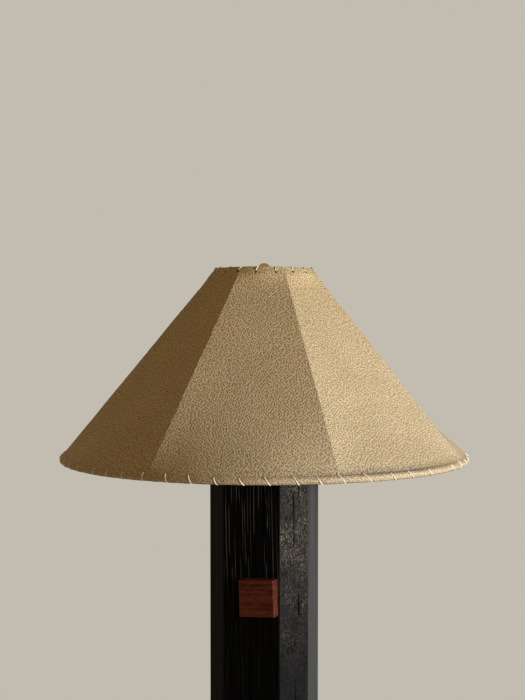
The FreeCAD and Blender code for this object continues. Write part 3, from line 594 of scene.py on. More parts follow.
@dataclass(frozen=True)
class BlownGlass(Finish):
    """Clear soda-lime glass, blown: smooth, with its usual index."""

    index: float = 1.52
    wave_spacing: float = 18 * MM
    wave_depth: float = 0.05 * MM

    def surface(self, tree: Tree) -> dict[str, Any]:
        """Give the shader's inputs: full transmission and a faint waviness.

        Args:
            tree: The material's nodes.

        Returns:
            Values and output sockets, by the names of the shader's inputs.
        """
        place = add_node(tree, "TexCoord", pick="Object")
        wave = add_node(tree, "TexNoise", {"Vector": place, "Scale": 1 / self.wave_spacing})
        bump = add_node(tree, "Bump", {"Height": wave, "Distance": self.wave_depth, "Strength": 0.3})
        return super().surface(tree) | {"Transmission Weight": 1.0, "IOR": self.index, "Normal": bump}


# Tanned skin, dull and warm: its pits and the grains between them break the light up into small specks.
HIDE = PebbledHide("pebbled hide, grain side", "#D6B783", 0.6, specular=0.35)
# The same skin from inside: no shine at all, and a soft nap.
HIDE_INSIDE = FleshSide("buffed hide, flesh side", "#C3A878", 0.85, specular=0.2)
# Waxed linen is pale and a little glossy, so that each stitch stands out from the hide.
THREAD = MatteFinish(
    "waxed linen thread", "#F2EAD3", 0.5, specular=0.4,
    tone_colour="#A3946F", tone=0.12, grain_spacing=0.6 * MM,
)

# Each face of the column was worked in its own way, and the ebonising took on each of them differently; on
# the planed face and on the brown one, the colour is painted light.
# Brushed with wire: nearly black, as the deep grooves hold the light, with thin painted glints on the crests.
OAK_BRUSHED = EbonisedTimber(
    "ebonised oak, wire brushed", "#090808", 0.7, specular=0.06,
    pore_colour="#010101", dust_colour="#3A362F", painted_low_colour="#010101", dust=0.04,
)
# Left rough and weathered: lumps with pale dust on them, in patches, as on old bark.
OAK_PEBBLED = EbonisedTimber(
    "ebonised oak, weathered", "#423D35", 0.78, specular=0.16,
    pore_colour="#0C0A08", dust_colour="#B5AA90", painted_low_colour="#0D0D0E", dust=0.75,
    patches=0.9, patch_spacing=52 * MM, speck_spacing=2.3 * MM,
    grain_width=2.1 * MM, grain_length=3.2 * MM, grain_depth=0.9 * MM,
)
# Planed: an even satin grey, a painted reflection: the grey base colour stands for the light from the side
# that the smooth face throws back.
OAK_PLANED = EbonisedTimber(
    "ebonised oak, planed", "#454441", 0.5, specular=0.3,
    pore_colour="#2A2A29", painted_low_colour="#3C3D3E", dust=0.05,
    grain_width=8 * MM, grain_length=340 * MM, grain_depth=0.12 * MM,
)
# Painted warm light: this face is coloured a deep brown instead of black, for the warm light that reaches it
# from the left.
OAK_WARM_LIT = EbonisedTimber(
    "ebonised oak, brown, painted warm light", "#23190E", 0.6, specular=0.08,
    pore_colour="#070402", painted_low_colour="#0C0804", dust=0.06,
    grain_width=4.5 * MM, grain_length=180 * MM, grain_depth=0.2 * MM,
)
# The slab underfoot: the same black, greyer where its grain is worn.
OAK_PLINTH = EbonisedTimber(
    "ebonised oak, brushed plinth", "#1B1815", 0.6, specular=0.25, dust=0.12, along_x=True
)

# What each slot of the record is made of, for the nodes that keep their own shape.
SLOT_FINISHES = {
    # Pale turned wood with a fine straight figure.
    "birch_dowel": OiledTimber(
        "turned birch", "#D9B98A", 0.6, along_x=False,
        band_colour="#C7A271", pale_colour="#E7CFA6", band_spacing=2 * MM,
    ),
    # Deep red wood in a thin oil: the bands of growth show as darker and paler lines across it.
    "red_block": OiledTimber(
        "red stained hardwood, oiled", "#5F2812", 0.62, specular=0.15,
        band_colour="#3C130A", pale_colour="#96482A",
    ),
    # Moulded nylon has a dull skin with a faint mottle.
    "glide_plastic": MatteFinish("moulded nylon", "#1E1E1E", 0.5),
    "bushing_plastic": MatteFinish("moulded black nylon", "#141414", 0.42),
    # Pressed fibres: brown, flecked, and quite without shine.
    "cover_fibreboard": MatteFinish(
        "pressed fibreboard", "#5B4A35", 0.9, specular=0.2, tone_colour="#2C2114", tone=0.6
    ),
    # Zinc plate is a cool grey, cloudy where it has dulled.
    "zinc_steel": WorkedMetal(
        "zinc-plated steel", "#B9BBB8", 0.32, patina_colour="#7D7F7C", patina=0.3, patina_spacing=4 * MM
    ),
    # Old brass: brown clouds over a soft yellow.
    "aged_brass": WorkedMetal("aged brass", "#A98748", 0.34, patina=0.5),
    # Lacquer keeps the lampholder's brass bright and smooth.
    "holder_brass": WorkedMetal("pressed brass, lacquered", "#C9A45A", 0.22, patina=0.25),
    # Polished brass mirrors its surroundings in a warm yellow.
    "finial_brass": WorkedMetal("turned brass, polished", "#EACB80", 0.2, patina=0.2),
    # Thin brass plate on wire: duller, with a little brown.
    "harp_metal": WorkedMetal("brass-plated steel wire", "#B4924F", 0.28, patina=0.35),
    # Brown board with a faint fibre.
    "liner_paper": MatteFinish("pressed paper liner", "#8C6F49", 0.9, specular=0.2, tone_colour="#5E4529"),
    # Phenolic is brown-black, with a soft gloss.
    "phenolic": MatteFinish("moulded phenolic", "#1A1512", 0.38, tone_colour="#3A2A20"),
    # Drawn copper has a reddish shine that browns.
    "copper_shell": WorkedMetal("drawn copper alloy", "#C98A5A", 0.25, patina_colour="#6B3F25"),
    # Drawn aluminium is a pale grey, slightly clouded.
    "bulb_cap_metal": WorkedMetal("drawn aluminium", "#C4C5C3", 0.3, patina_colour="#8F908D", patina=0.25),
    # Black glass is glossy and even.
    "bulb_black_glass": MatteFinish("pressed black glass", "#0B0B0C", 0.12, tone=0.05),
    # Solder sets in a dull silver drop.
    "solder": WorkedMetal("tin solder", "#B7B8B6", 0.3, patina_colour="#77787A"),
    # Clear glass shows only at its rim and in its highlights.
    "bulb_glass": BlownGlass("blown clear glass", "#FFFFFF", 0.0),
    # Tungsten is a dark grey thread.
    "filament_wire": WorkedMetal("tungsten wire", "#6F6C68", 0.4, patina_colour="#3E3C3A"),
    # Bronze paint dulls the wire to a brown with a slight sheen.
    "frame_wire": WorkedMetal(
        "bronze-painted steel wire", "#6E5B3A", 0.45, metallic=0.6, patina_colour="#3C311F"
    ),
}


@dataclass
class ShadeForm:
    """The shade's shape: seven panels, flat between the ribs, that turn round at both rings.

    A place on it has an azimuth from the front in degrees, and two distances from the bottom ring's
    wire: out, square to the skin's slope, and up, along that slope.
    """

    rib_count: int = 7
    skin: float = 1.2 * MM
    fit: float = 0.1 * MM
    tongue: float = 8.0 * MM
    rib_bottom_turn: float = -12.9
    rib_top_turn: float = -9.1
    height_shares: tuple[float, ...] = (0, 0.03, 0.08, 0.14, 0.21, 0.3, 0.45, 0.91, 0.95, 0.975, 1)
    roundness_shares: tuple[float, ...] = (1, 0.94, 0.74, 0.52, 0.3, 0.12, 0.03, 0.05, 0.5, 1, 1)
    least_roundness: float = 0.001
    low_fold_heights: tuple[float, ...] = (2, 8, 14, 22, 32, 42, 52, 64, 80, 100)
    low_fold_depths: tuple[float, ...] = (0, 1.2, 2, 2.4, 2.4, 2.2, 1.8, 0.9, 0.3, 0)
    low_fold_reach: float = 30 * MM
    top_fold_drops: tuple[float, ...] = (0, 3, 8, 14, 20, 26)
    top_fold_heights: tuple[float, ...] = (0.7, 1.1, 1.5, 1.1, 0.4, 0)
    top_fold_reach: float = 15 * MM
    cut_turn: float = 14.0
    cut_rise: float = 3.6 * MM
    cut_run: float = 24 * MM
    ring_level: float = field(init=False)
    ring_radius: float = field(init=False)
    top_level: float = field(init=False)
    top_radius: float = field(init=False)
    bead: float = field(init=False)
    lean: float = field(init=False)
    top_out: float = field(init=False)
    top_up: float = field(init=False)
    edge: float = field(init=False)

    def __post_init__(self) -> None:
        """Read the rings, the bead and the skin's top edge from the frame."""
        low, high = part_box("shade_bottom_ring")
        self.ring_level = (low.z + high.z) / 2
        self.ring_radius = (high.x - low.x - (high.z - low.z)) / 2
        self.bead = self.ring_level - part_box("skin_hem")[0].z
        low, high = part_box("shade_top_ring")
        self.top_level = (low.z + high.z) / 2
        self.top_radius = (high.x - low.x - (high.z - low.z)) / 2
        offset = (high.z - low.z) / 2 + self.fit + self.skin
        run = self.ring_radius - self.top_radius
        rise = self.top_level - self.ring_level
        self.lean = math.atan2(run, rise) + math.asin((self.bead - offset) / math.hypot(run, rise))
        self.top_out = rise * math.sin(self.lean) - run * math.cos(self.lean)
        self.top_up = run * math.sin(self.lean) + rise * math.cos(self.lean)
        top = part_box("skin_panel_1")[1].z - self.ring_level
        self.edge = (top - self.bead * math.sin(self.lean)) / math.cos(self.lean)

    @property
    def panel_angle(self) -> float:
        """How far one rib is turned from the next, in degrees."""
        return 360 / self.rib_count

    def line(self, up: Array) -> tuple[Array, Array]:
        """Follow the skin's straight outer line.

        Args:
            up: Distance along the slope.

        Returns:
            Its radius and its level, in metres.
        """
        radius = self.ring_radius + self.bead * math.cos(self.lean) - up * math.sin(self.lean)
        return radius, self.ring_level + self.bead * math.sin(self.lean) + up * math.cos(self.lean)

    def roundness(self, up: Array) -> Array:
        """Give how round the shade is at a height.

        Args:
            up: Distance along the slope.

        Returns:
            0 where it is flat between its ribs, and 1 where it is a circle.
        """
        share = (up - self.tongue) / (self.edge - self.tongue)
        return np.interp(share, self.height_shares, self.roundness_shares)

    def rib_turn(self, up: Array) -> Array:
        """Follow the first rib, which leans a little to one side.

        Args:
            up: Distance along the slope.

        Returns:
            Its azimuth, in degrees.
        """
        share = np.clip((self.line(up)[1] - self.ring_level) / (self.top_level - self.ring_level), 0, 1)
        low, high = math.radians(self.rib_bottom_turn), math.radians(self.rib_top_turn)
        side = self.ring_radius * math.sin(low) * (1 - share) + self.top_radius * math.sin(high) * share
        ahead = self.ring_radius * math.cos(low) * (1 - share) + self.top_radius * math.cos(high) * share
        return np.degrees(np.arctan2(side, ahead))

    def from_rib(self, azimuth: Array, up: Array) -> Array:
        """Measure how far each place is from the nearest rib.

        Args:
            azimuth: Degrees from the front.
            up: Distance along the slope.

        Returns:
            The distance round the shade, in metres.
        """
        turn = (azimuth - self.rib_turn(up) + self.panel_angle / 2) % self.panel_angle
        return np.radians(turn - self.panel_angle / 2) * self.line(up)[0]

    def fold(self, azimuth: Array, up: Array) -> Array:
        """Give how the hide stays creased at its ribs where the rings make it round.

        Near the bottom ring it lies flatter beside each rib, and near the top ring the crease stands out.

        Args:
            azimuth: Degrees from the front.
            up: Distance along the slope.

        Returns:
            How far the hide stands out, in metres.
        """
        rib = np.abs(self.from_rib(azimuth, up))
        low = np.interp(up / MM, self.low_fold_heights, self.low_fold_depths) * MM
        low = low * (np.clip(1 - rib / self.low_fold_reach, 0, 1) ** 2 - 1)
        top = np.interp((self.edge - up) / MM, self.top_fold_drops, self.top_fold_heights) * MM
        return low + top * np.clip(1 - rib / self.top_fold_reach, 0, 1) ** 2

    def bow(self, azimuth: Array, up: Array) -> Array:
        """Work out how far the panel lies inside the ribs' circle.

        Args:
            azimuth: Degrees from the front.
            up: Distance along the slope.

        Returns:
            That distance, as a negative one, in metres.
        """
        half = math.radians(self.panel_angle / 2)
        turn = np.radians((azimuth - self.rib_turn(up)) % self.panel_angle - self.panel_angle / 2)
        radius = self.line(up)[0]
        rise = radius * np.maximum(self.roundness(up), self.least_roundness) * (1 - math.cos(half))
        chord = radius * math.sin(half)
        circle = (chord**2 + rise**2) / (2 * rise)
        centre = radius * math.cos(half) + rise - circle
        reach = centre * np.cos(turn) + np.sqrt(circle**2 - (centre * np.sin(turn)) ** 2)
        return reach - radius + self.fold(azimuth, up)

    def cut_lift(self, azimuth: Array, up: Array) -> Array:
        """Draw the hide up near its top edge, which was cut higher in front.

        Args:
            azimuth: Degrees from the front.
            up: Distance along the slope.

        Returns:
            How far it is drawn up, in metres.
        """
        near = 0.5 + 0.5 * np.cos(np.radians(azimuth - self.cut_turn))
        return self.cut_rise * near**3 * np.clip(1 - (self.edge - up) / self.cut_run, 0, 1)

    def place(self, azimuth: Array, out: Array, up: Array) -> Array:
        """Turn azimuths and distances from the bottom ring to points in space.

        Args:
            azimuth: Degrees from the front, towards +X.
            out: Distance square to the slope.
            up: Distance along the slope.

        Returns:
            The points, in metres.
        """
        reach = self.ring_radius + out * math.cos(self.lean) - up * math.sin(self.lean)
        level = self.ring_level + out * math.sin(self.lean) + up * math.cos(self.lean)
        reach = reach + self.bow(azimuth, np.clip(up, 0, self.edge))
        turn = np.radians(azimuth)
        return np.stack(np.broadcast_arrays(reach * np.sin(turn), -reach * np.cos(turn), level), axis=-1)


@dataclass(frozen=True)
class Stitch:
    """One stitch of the lacing, as it was sewn by hand.

    Its hole has an azimuth in degrees and a height along the skin, and the slant is how far the thread
    goes round the shade for each length that it goes over the edge.
    """

    azimuth: float
    up: float
    slant: float


@dataclass
class Stitching:
    """Where the lacing goes through the skin: one row of holes over the bead, one under the top edge.

    The stitches in front are set out one by one, as azimuth, millimetres over the ring or under the
    edge, and slant. The rest of each row is spaced evenly, but for some unevenness.
    """

    form: ShadeForm
    bottom_front: tuple[tuple[float, float, float], ...] = (
        (-41.5, 2.0, -0.3), (-32.5, 2.6, -0.4), (-26.7, 2.6, -0.3), (-20.9, 2.5, -0.15),
        (-14.2, 4.4, 0.0), (-7.6, 4.9, 0.32), (-1.0, 3.6, 0.43), (5.8, 2.6, 0.4), (12.3, 1.6, 0.62),
        (18.7, 3.6, 0.63), (26.0, 4.6, 0.6), (32.2, 3.0, 0.6), (37.9, 5.9, 0.7), (45.2, 5.1, 0.84),
        (53.5, 2.4, 0.8), (59.7, 2.9, 0.85), (67.8, 1.8, 0.7), (80.0, 1.6, 0.9),
    )
    bottom_rest: int = 35
    top_front: tuple[tuple[float, float, float], ...] = (
        (-29.8, 5.8, 0.62), (-11.9, 5.7, 0.55), (9.2, 6.5, 0.33),
        (31.4, 6.4, 0.17), (52.8, 5.4, 0.07), (72.8, 6.0, 0.05),
    )
    top_rest: int = 11
    usual_slant: float = 0.5
    slant_spread: float = 0.2
    unevenness: float = 1.2 * MM
    hold: float = 2.15
    seed: int = 5
    bottom: list[Stitch] = field(init=False)
    top: list[Stitch] = field(init=False)

    def __post_init__(self) -> None:
        """Set out both rows."""
        random = np.random.default_rng(self.seed)
        form = self.form
        self.bottom = self.row(self.bottom_front, self.bottom_rest, 0.0, 1, form.ring_radius, random)
        self.top = self.row(self.top_front, self.top_rest, form.edge, -1, form.top_radius, random)

    def row(
        self,
        front: tuple[tuple[float, float, float], ...],
        rest: int,
        level: float,
        sense: int,
        radius: float,
        random: np.random.Generator,
    ) -> list[Stitch]:
        """List one row of stitches, all the way round.

        Args:
            front: The stitches that are set out one by one.
            rest: How many more there are.
            level: The height along the skin that the row's heights are measured from.
            sense: 1 where they are measured up, and -1 where they are measured down.
            radius: The ring's radius, in metres.
            random: Where the unevenness comes from.

        Returns:
            The stitches, by their azimuths.
        """
        usual = sum(height for _, height, _ in front) / len(front)
        spread = math.degrees(self.unevenness / radius)
        last = front[-1][0]
        pitch = (front[0][0] + 360 - last) / (rest + 1)
        stitches = [Stitch(turn, level + sense * height * MM, slant) for turn, height, slant in front]
        for number in range(1, rest + 1):
            shift, lift, lean = random.uniform(-1, 1, 3)
            height = usual * MM + lift * self.unevenness
            slant = self.usual_slant + self.slant_spread * lean
            stitches.append(Stitch(last + pitch * number + shift * spread, level + sense * height, slant))
        return stitches

    def nearest(self, azimuth: Array, lines: Array) -> tuple[Array, Array]:
        """Find the nearest of some lines up the skin.

        Args:
            azimuth: Degrees from the front.
            lines: The lines' azimuths, in the last axis.

        Returns:
            The turn from the nearest line, in degrees, and that line's number.
        """
        turns = (azimuth[..., None] - lines + 180) % 360 - 180
        number = np.argmin(np.abs(turns), axis=-1)
        return np.take_along_axis(turns, number[..., None], axis=-1)[..., 0], number

    def from_hole(self, azimuth: Array, up: Array, stitches: list[Stitch]) -> tuple[Array, Array]:
        """Measure how far each place is from the nearest hole of a row.

        Args:
            azimuth: Degrees from the front.
            up: Distance along the slope.
            stitches: The row.

        Returns:
            The distance round the shade and the one along the slope.
        """
        turn, number = self.nearest(azimuth, np.array([stitch.azimuth for stitch in stitches]))
        levels = np.array([stitch.up for stitch in stitches])
        return np.radians(turn) * self.form.line(up)[0], up - levels[number]

    def from_thread(self, azimuth: Array, down: Array) -> Array:
        """Measure how far each place on the bead is from the nearest thread, round the shade.

        Args:
            azimuth: Degrees from the front.
            down: Distance round the bead from the skin.

        Returns:
            The distances, in metres.
        """
        radius = self.form.ring_radius
        row = [(stitch.azimuth, stitch.up, stitch.slant) for stitch in self.bottom]
        turn, height, slant = np.array(row).T
        way = height + np.minimum(down, self.hold * self.form.bead)[..., None]
        return np.radians(self.nearest(azimuth, turn + np.degrees(slant * way / radius))[0]) * radius


@dataclass(frozen=True)
class HolePull:
    """How a row of holes marks the hide: the swell that each pulls in, and its mouth, dented and darkened
    with painted shade.
    """

    pull: float
    side: float
    off: float
    width: float
    reach_round: float = 5.5 * MM
    reach_up: float = 4 * MM
    mouth: float = 0.5
    # How strongly painted shade darkens each hole's mouth.
    painted_shade: float = 2.2


@dataclass
class HideCover:
    """The hide: one shell from its top edge down over the ribs, rolled round the bottom ring.

    Heights of the relief are in millimetres.
    """

    form: ShadeForm
    stitching: Stitching
    top_band: float = 12 * MM
    low_band: float = 17 * MM
    outside_steps: tuple[float, float, float] = (0.75 * MM, 3.2 * MM, 0.85 * MM)
    inside_steps: tuple[float, float, float] = (2.5 * MM, 8 * MM, 2.5 * MM)
    hole_steps: tuple[float, ...] = (0.6, 1.4, 2.4, 3.6, 5.2, 7.2, 9.6, 12)
    rib_steps: tuple[float, ...] = (1.1, 3, 5.5, 9, 14)
    top_steps: tuple[float, ...] = (0.6, 1.2, 2)
    least_step: float = 0.45 * MM
    bevel: float = 0.3 * MM
    roll_end: float = math.radians(235)
    flap: float = 12 * MM
    seam_rib: int = 4
    grain_turn: float = 0.5
    swells: tuple[tuple[float, float, int], ...] = (
        (0.28, 66, Field.BROAD_SWELL), (0.08, 21, Field.FINE_SWELL)
    )
    lumps: tuple[tuple[float, float, int], ...] = (
        (0.22, 8, Field.LUMPS), (0.1, 3, Field.FINE_LUMPS)
    )
    thread_dent: float = 0.75
    gather_width: float = 2.6 * MM
    gather_length: float = 14 * MM
    tight_turn: float = 60.0
    tight_reach: float = 30.0
    least_tight: float = 0.12
    bottom_pull: HolePull = HolePull(0.3, -0.4 * MM, 0.5 * MM, 0.85 * MM)
    top_pull: HolePull = HolePull(0.2, 0.2 * MM, -0.8 * MM, 1.5 * MM)
    # Where painted shade runs along the underside of the bead, how wide, and how dark.
    under_turn: float = math.radians(122)
    under_reach: float = math.radians(24)
    under_painted_shade: float = 0.75

    def profile(self) -> dict[str, Array]:
        """Lay out the skin's closed section, from the top edge down outside and back up inside.

        Returns:
            For each row: out and up from the bottom ring, the way it moves when the skin swells, whether
            it is skin (1) or bead (2), how far down the skin it lies, and whether it shows the flesh side.
        """
        form, end, bevel = self.form, self.roll_end, self.bevel
        bead, edge = form.bead, form.edge
        inner = bead - form.skin
        last = bead * end
        foot = inner - form.skin
        back = inner - 0.15 * MM
        rows: list[tuple[float, ...]] = []
        rows += [(bead, up, 1, 0, 1, -up, 0) for up in self.heights(*self.outside_steps)]
        for turn in np.linspace(0, end, 22)[1:]:
            across, along = math.cos(turn), math.sin(turn)
            rows.append((bead * across, -bead * along, across, -along, 2, bead * turn, 0))
        rows += [(x, y, 1, 0, 0, last, 0) for x, y in self.ease(bead, (foot, 8 * MM))[1:]]
        rows += [(foot, up, 1, 0, 0, last, 1) for up in np.linspace(8 * MM, self.flap, 4)[1:]]
        rows += [((foot + back) / 2, self.flap + bevel, 1, 0, 0, last, 1)]
        rows += [(back, up, 1, 0, 0, last, 1) for up in (self.flap, 10 * MM)]
        rows += [(x, y, 1, 0, 0, last, 1) for x, y in self.ease(inner, (back, 9 * MM))[::-1]]
        for turn in np.linspace(end, 0, 14)[1:-1]:
            rows.append((inner * math.cos(turn), -inner * math.sin(turn), 0, 0, 0, inner * turn, 1))
        rows += [(inner, up, 1, 0, 1, -up, 1) for up in self.heights(*self.inside_steps)[:0:-1]]
        rows += [(inner, edge - bevel, 1, 0, 1, -edge, 1)]
        rows += [(out, edge, 1, 0, 1, -edge, 0) for out in (inner + bevel, bead - bevel)]
        names = ("out", "up", "move_out", "move_up", "kind", "down", "inside")
        return dict(zip(names, np.array(rows, dtype=float).T[:, :, None]))

    def heights(self, top_step: float, step: float, low_step: float) -> Array:
        """List heights along the slope from the top edge down, closer together near both rings.

        Args:
            top_step: The step near the top ring, in metres.
            step: The step between.
            low_step: The step near the bottom ring.

        Returns:
            The heights, in metres.
        """
        top = self.form.edge - self.bevel
        band = self.form.edge - self.top_band
        ranges = ((top, band, -top_step), (band, self.low_band, -step), (self.low_band, 0, -low_step))
        return np.concatenate([np.arange(*each) for each in ranges] + [[0.0]])

    def ease(self, radius: float, end: tuple[float, float]) -> Array:
        """Lead the rolled hem smoothly from the end of its roll up to the skin.

        Args:
            radius: How far the roll is from the ring's wire.
            end: Out and up of where it meets the skin.

        Returns:
            Out and up of each point.
        """
        start = (radius * math.cos(self.roll_end), -radius * math.sin(self.roll_end))
        share = np.linspace(0, 1, 7)[:, None]
        smooth = share * share * (3 - 2 * share)
        across = start[0] + (end[0] - start[0]) * smooth
        return np.hstack([across, start[1] + (end[1] - start[1]) * share])

    def columns(self) -> Array:
        """Choose the columns, close together at the holes and at the ribs' creases.

        Returns:
            Their azimuths at the bottom ring, from the seam round to the seam.
        """
        form = self.form
        seam = form.rib_bottom_turn + form.panel_angle * (self.seam_rib - form.rib_count)
        twist = float(form.rib_turn(np.array(form.edge))) - form.rib_bottom_turn
        bottom = np.array([stitch.azimuth for stitch in self.stitching.bottom])
        ribs = form.rib_bottom_turn + form.panel_angle * np.arange(form.rib_count)
        top = np.array([stitch.azimuth for stitch in self.stitching.top]) - twist
        turns = [
            (middle[:, None] + both_sides(steps) * math.degrees(MM / radius)).ravel()
            for middle, steps, radius in (
                (bottom, self.hole_steps, form.ring_radius),
                (ribs, self.rib_steps, form.ring_radius),
                (top, self.top_steps, form.top_radius),
            )
        ]
        least = math.degrees(self.least_step / form.ring_radius)
        kept = [0.0]
        for turn in np.sort((np.concatenate(turns) - seam) % 360):
            if least < turn - kept[-1] and turn < 360 - least:
                kept.append(float(turn))
        return seam + np.array(kept + [360.0])

    def relief(self, azimuth: Array, up: Array) -> tuple[Array, Array, Array]:
        """Shape the hide's surface: swells, worn creases, folds over the bead, and pulled holes, with painted
        shade in those folds and at the holes.

        Args:
            azimuth: Degrees from the front.
            up: Distance along the slope.

        Returns:
            How far the skin stands out, how much painted shade darkens it, and how worn.
        """
        form = self.form
        place = form.place(azimuth, np.array(form.bead), up)
        flat = 1 - form.roundness(up)
        rib = form.from_rib(azimuth, up)
        ridge = soft_noise(place / (5.5 * MM), Field.CREASE)
        stand = layered_noise(place, self.swells) + 0.2 * ridge * bell(rib, 1.6 * MM) * flat
        wear = 0.3 * bell(rib + 0.5 * MM * ridge, 1.2 * MM) * np.clip(flat * 1.4, 0, 1) * (0.5 + 0.5 * ridge)

        # Drawn in over the ring, the hide lies in short folds; painted shade darkens the crease over the bead
        # and the hollows between the folds.
        around = np.radians(azimuth) * form.line(up)[0]
        level = np.zeros_like(around + up)
        fold = np.stack([around / self.gather_width + level, up / self.gather_length + level, level], -1)
        wave = soft_noise(fold, Field.GATHERS)
        tight = self.tightness(azimuth) + level
        band = bell(up - 4.6 * MM, 4.0 * MM) * np.clip(up / (1.5 * MM), 0, 1)
        stand = stand - band * tight * (0.5 + 0.5 * np.clip(-wave, 0, 1))
        crack_shade = bell(up - 3.2 * MM, 1.5 * MM) * tight * np.clip(0.75 + 0.4 * wave, 0, 1)
        gather_shade = band * tight * np.clip(-0.1 - wave, 0, 1)
        shade = bell(up - 6.5 * MM, 4 * MM) * tight
        # Painted shade in the crease, in the hollows between the folds, and in a band just above the bead.
        painted_shade = np.clip(0.74 * crack_shade + 0.56 * gather_shade + 0.32 * shade, 0, 0.7)

        # Each hole pulls the hide in, and painted shade darkens its mouth.
        for stitches, hole in (
            (self.stitching.bottom, self.bottom_pull),
            (self.stitching.top, self.top_pull),
        ):
            beside, above = self.stitching.from_hole(azimuth, up, stitches)
            mouth = bell(np.hypot(beside - hole.side, above - hole.off) / hole.width, 1.0) ** 2
            pulled = hole.pull * bell(beside, hole.reach_round) * bell(above, hole.reach_up)
            stand = stand - pulled - hole.mouth * mouth
            painted_shade = np.maximum(painted_shade, hole.painted_shade * mouth)
        return stand * MM, np.clip(painted_shade, 0, 1), np.clip(wear, 0, 0.6)

    def tightness(self, azimuth: Array) -> Array:
        """Draw the hide in over the bead, most tightly at the right of the front.

        Args:
            azimuth: Degrees from the front.

        Returns:
            How tight it is, from 0 to 1.
        """
        turn = (azimuth - self.tight_turn + 180) % 360 - 180
        turns = np.radians(azimuth)
        circle = np.stack([2.2 * np.cos(turns), 2.2 * np.sin(turns), 0 * turns + 0.5], -1)
        patches = soft_noise(circle, Field.TIGHTNESS)
        behind = np.clip(1.4 * patches, 0, 0.8) * np.clip(np.abs(turn) / 90 - 0.9, 0, 1)
        drawn = np.maximum(bell(turn, self.tight_reach), behind)
        return self.least_tight + (1 - self.least_tight) * drawn

    def roll_relief(self, azimuth: Array, down: Array) -> Array:
        """Shape the bead: small lumps, and a dent under each thread.

        Args:
            azimuth: Degrees from the front.
            down: Distance round the bead from the skin.

        Returns:
            How far it stands out, in metres.
        """
        place = self.form.place(azimuth, np.array(self.form.bead), -down)
        dent = self.thread_dent * bell(self.stitching.from_thread(azimuth, down), 1.0 * MM)
        return (layered_noise(place, self.lumps) - dent) * MM

    def build(self) -> bpy.types.Object:
        """Make the hide cover and let it stand for the panels and the hem.

        Returns:
            The cover.
        """
        form = self.form
        rows = self.profile()
        up, down, inside = rows["up"], rows["down"], rows["inside"]
        skin, rolled = rows["kind"] == 1, rows["kind"] == 2
        level = np.clip(up, 0, form.edge)
        azimuth = self.columns()[None, :] + form.rib_turn(level) - form.rib_bottom_turn
        stand, painted_shade, wear = self.relief(azimuth, level)
        stand = np.where(skin, stand, np.where(rolled, self.roll_relief(azimuth, down), 0.0))
        place = form.place(azimuth, np.array(form.bead), level)
        edge_wave = layered_noise(place, ((0.25 * MM, 9, Field.CUT_EDGE),))
        edge_wave *= np.clip((up - form.edge + 3 * MM) / (3 * MM), 0, 1)
        raised = up + stand * rows["move_up"] + edge_wave + form.cut_lift(azimuth, up)
        points = form.place(azimuth, rows["out"] + stand * rows["move_out"], raised)

        # Where each point lies on the hide before it was rolled to a cone.
        slant = (form.line(np.array(0.0))[0] / math.sin(form.lean)) + down
        turn = np.radians(azimuth) * math.sin(form.lean) + self.grain_turn
        flat = np.stack([slant * np.sin(turn), slant * np.cos(turn), np.zeros_like(turn)], axis=-1)
        keep = np.where(inside > 0, 0.0, 1.0)
        # Painted shade along the underside of the bead.
        under = bell(down - form.bead * self.under_turn, form.bead * self.under_reach) * rolled
        roll = np.where(rolled, 1.0, bell(np.maximum(up, 0), 2.2 * MM)) * keep + np.zeros_like(turn)
        painted_shade = np.maximum(painted_shade * keep * skin, self.under_painted_shade * under)
        marks = np.stack([painted_shade, wear * keep * skin, roll], axis=-1)

        count, width = points.shape[:2]
        quads = grid_faces(count, width, closed=False).tolist()
        patches = np.repeat((inside[:, 0] > 0).astype(np.int32), width - 1)
        seams = [[row * width + last for row in range(count)] for last in (0, width - 1)]
        piece = add_piece(
            "hide_cover",
            points,
            quads + seams,
            [HIDE.build(), HIDE_INSIDE.build()],
            np.append(patches, [1, 1]),
            {"hide_flat": flat, "hide_marks": marks},
        )
        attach(piece, "shade")
        panels = [f"skin_panel_{number + 1}" for number in range(form.rib_count)]
        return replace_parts(piece, "skin_hem", *panels)


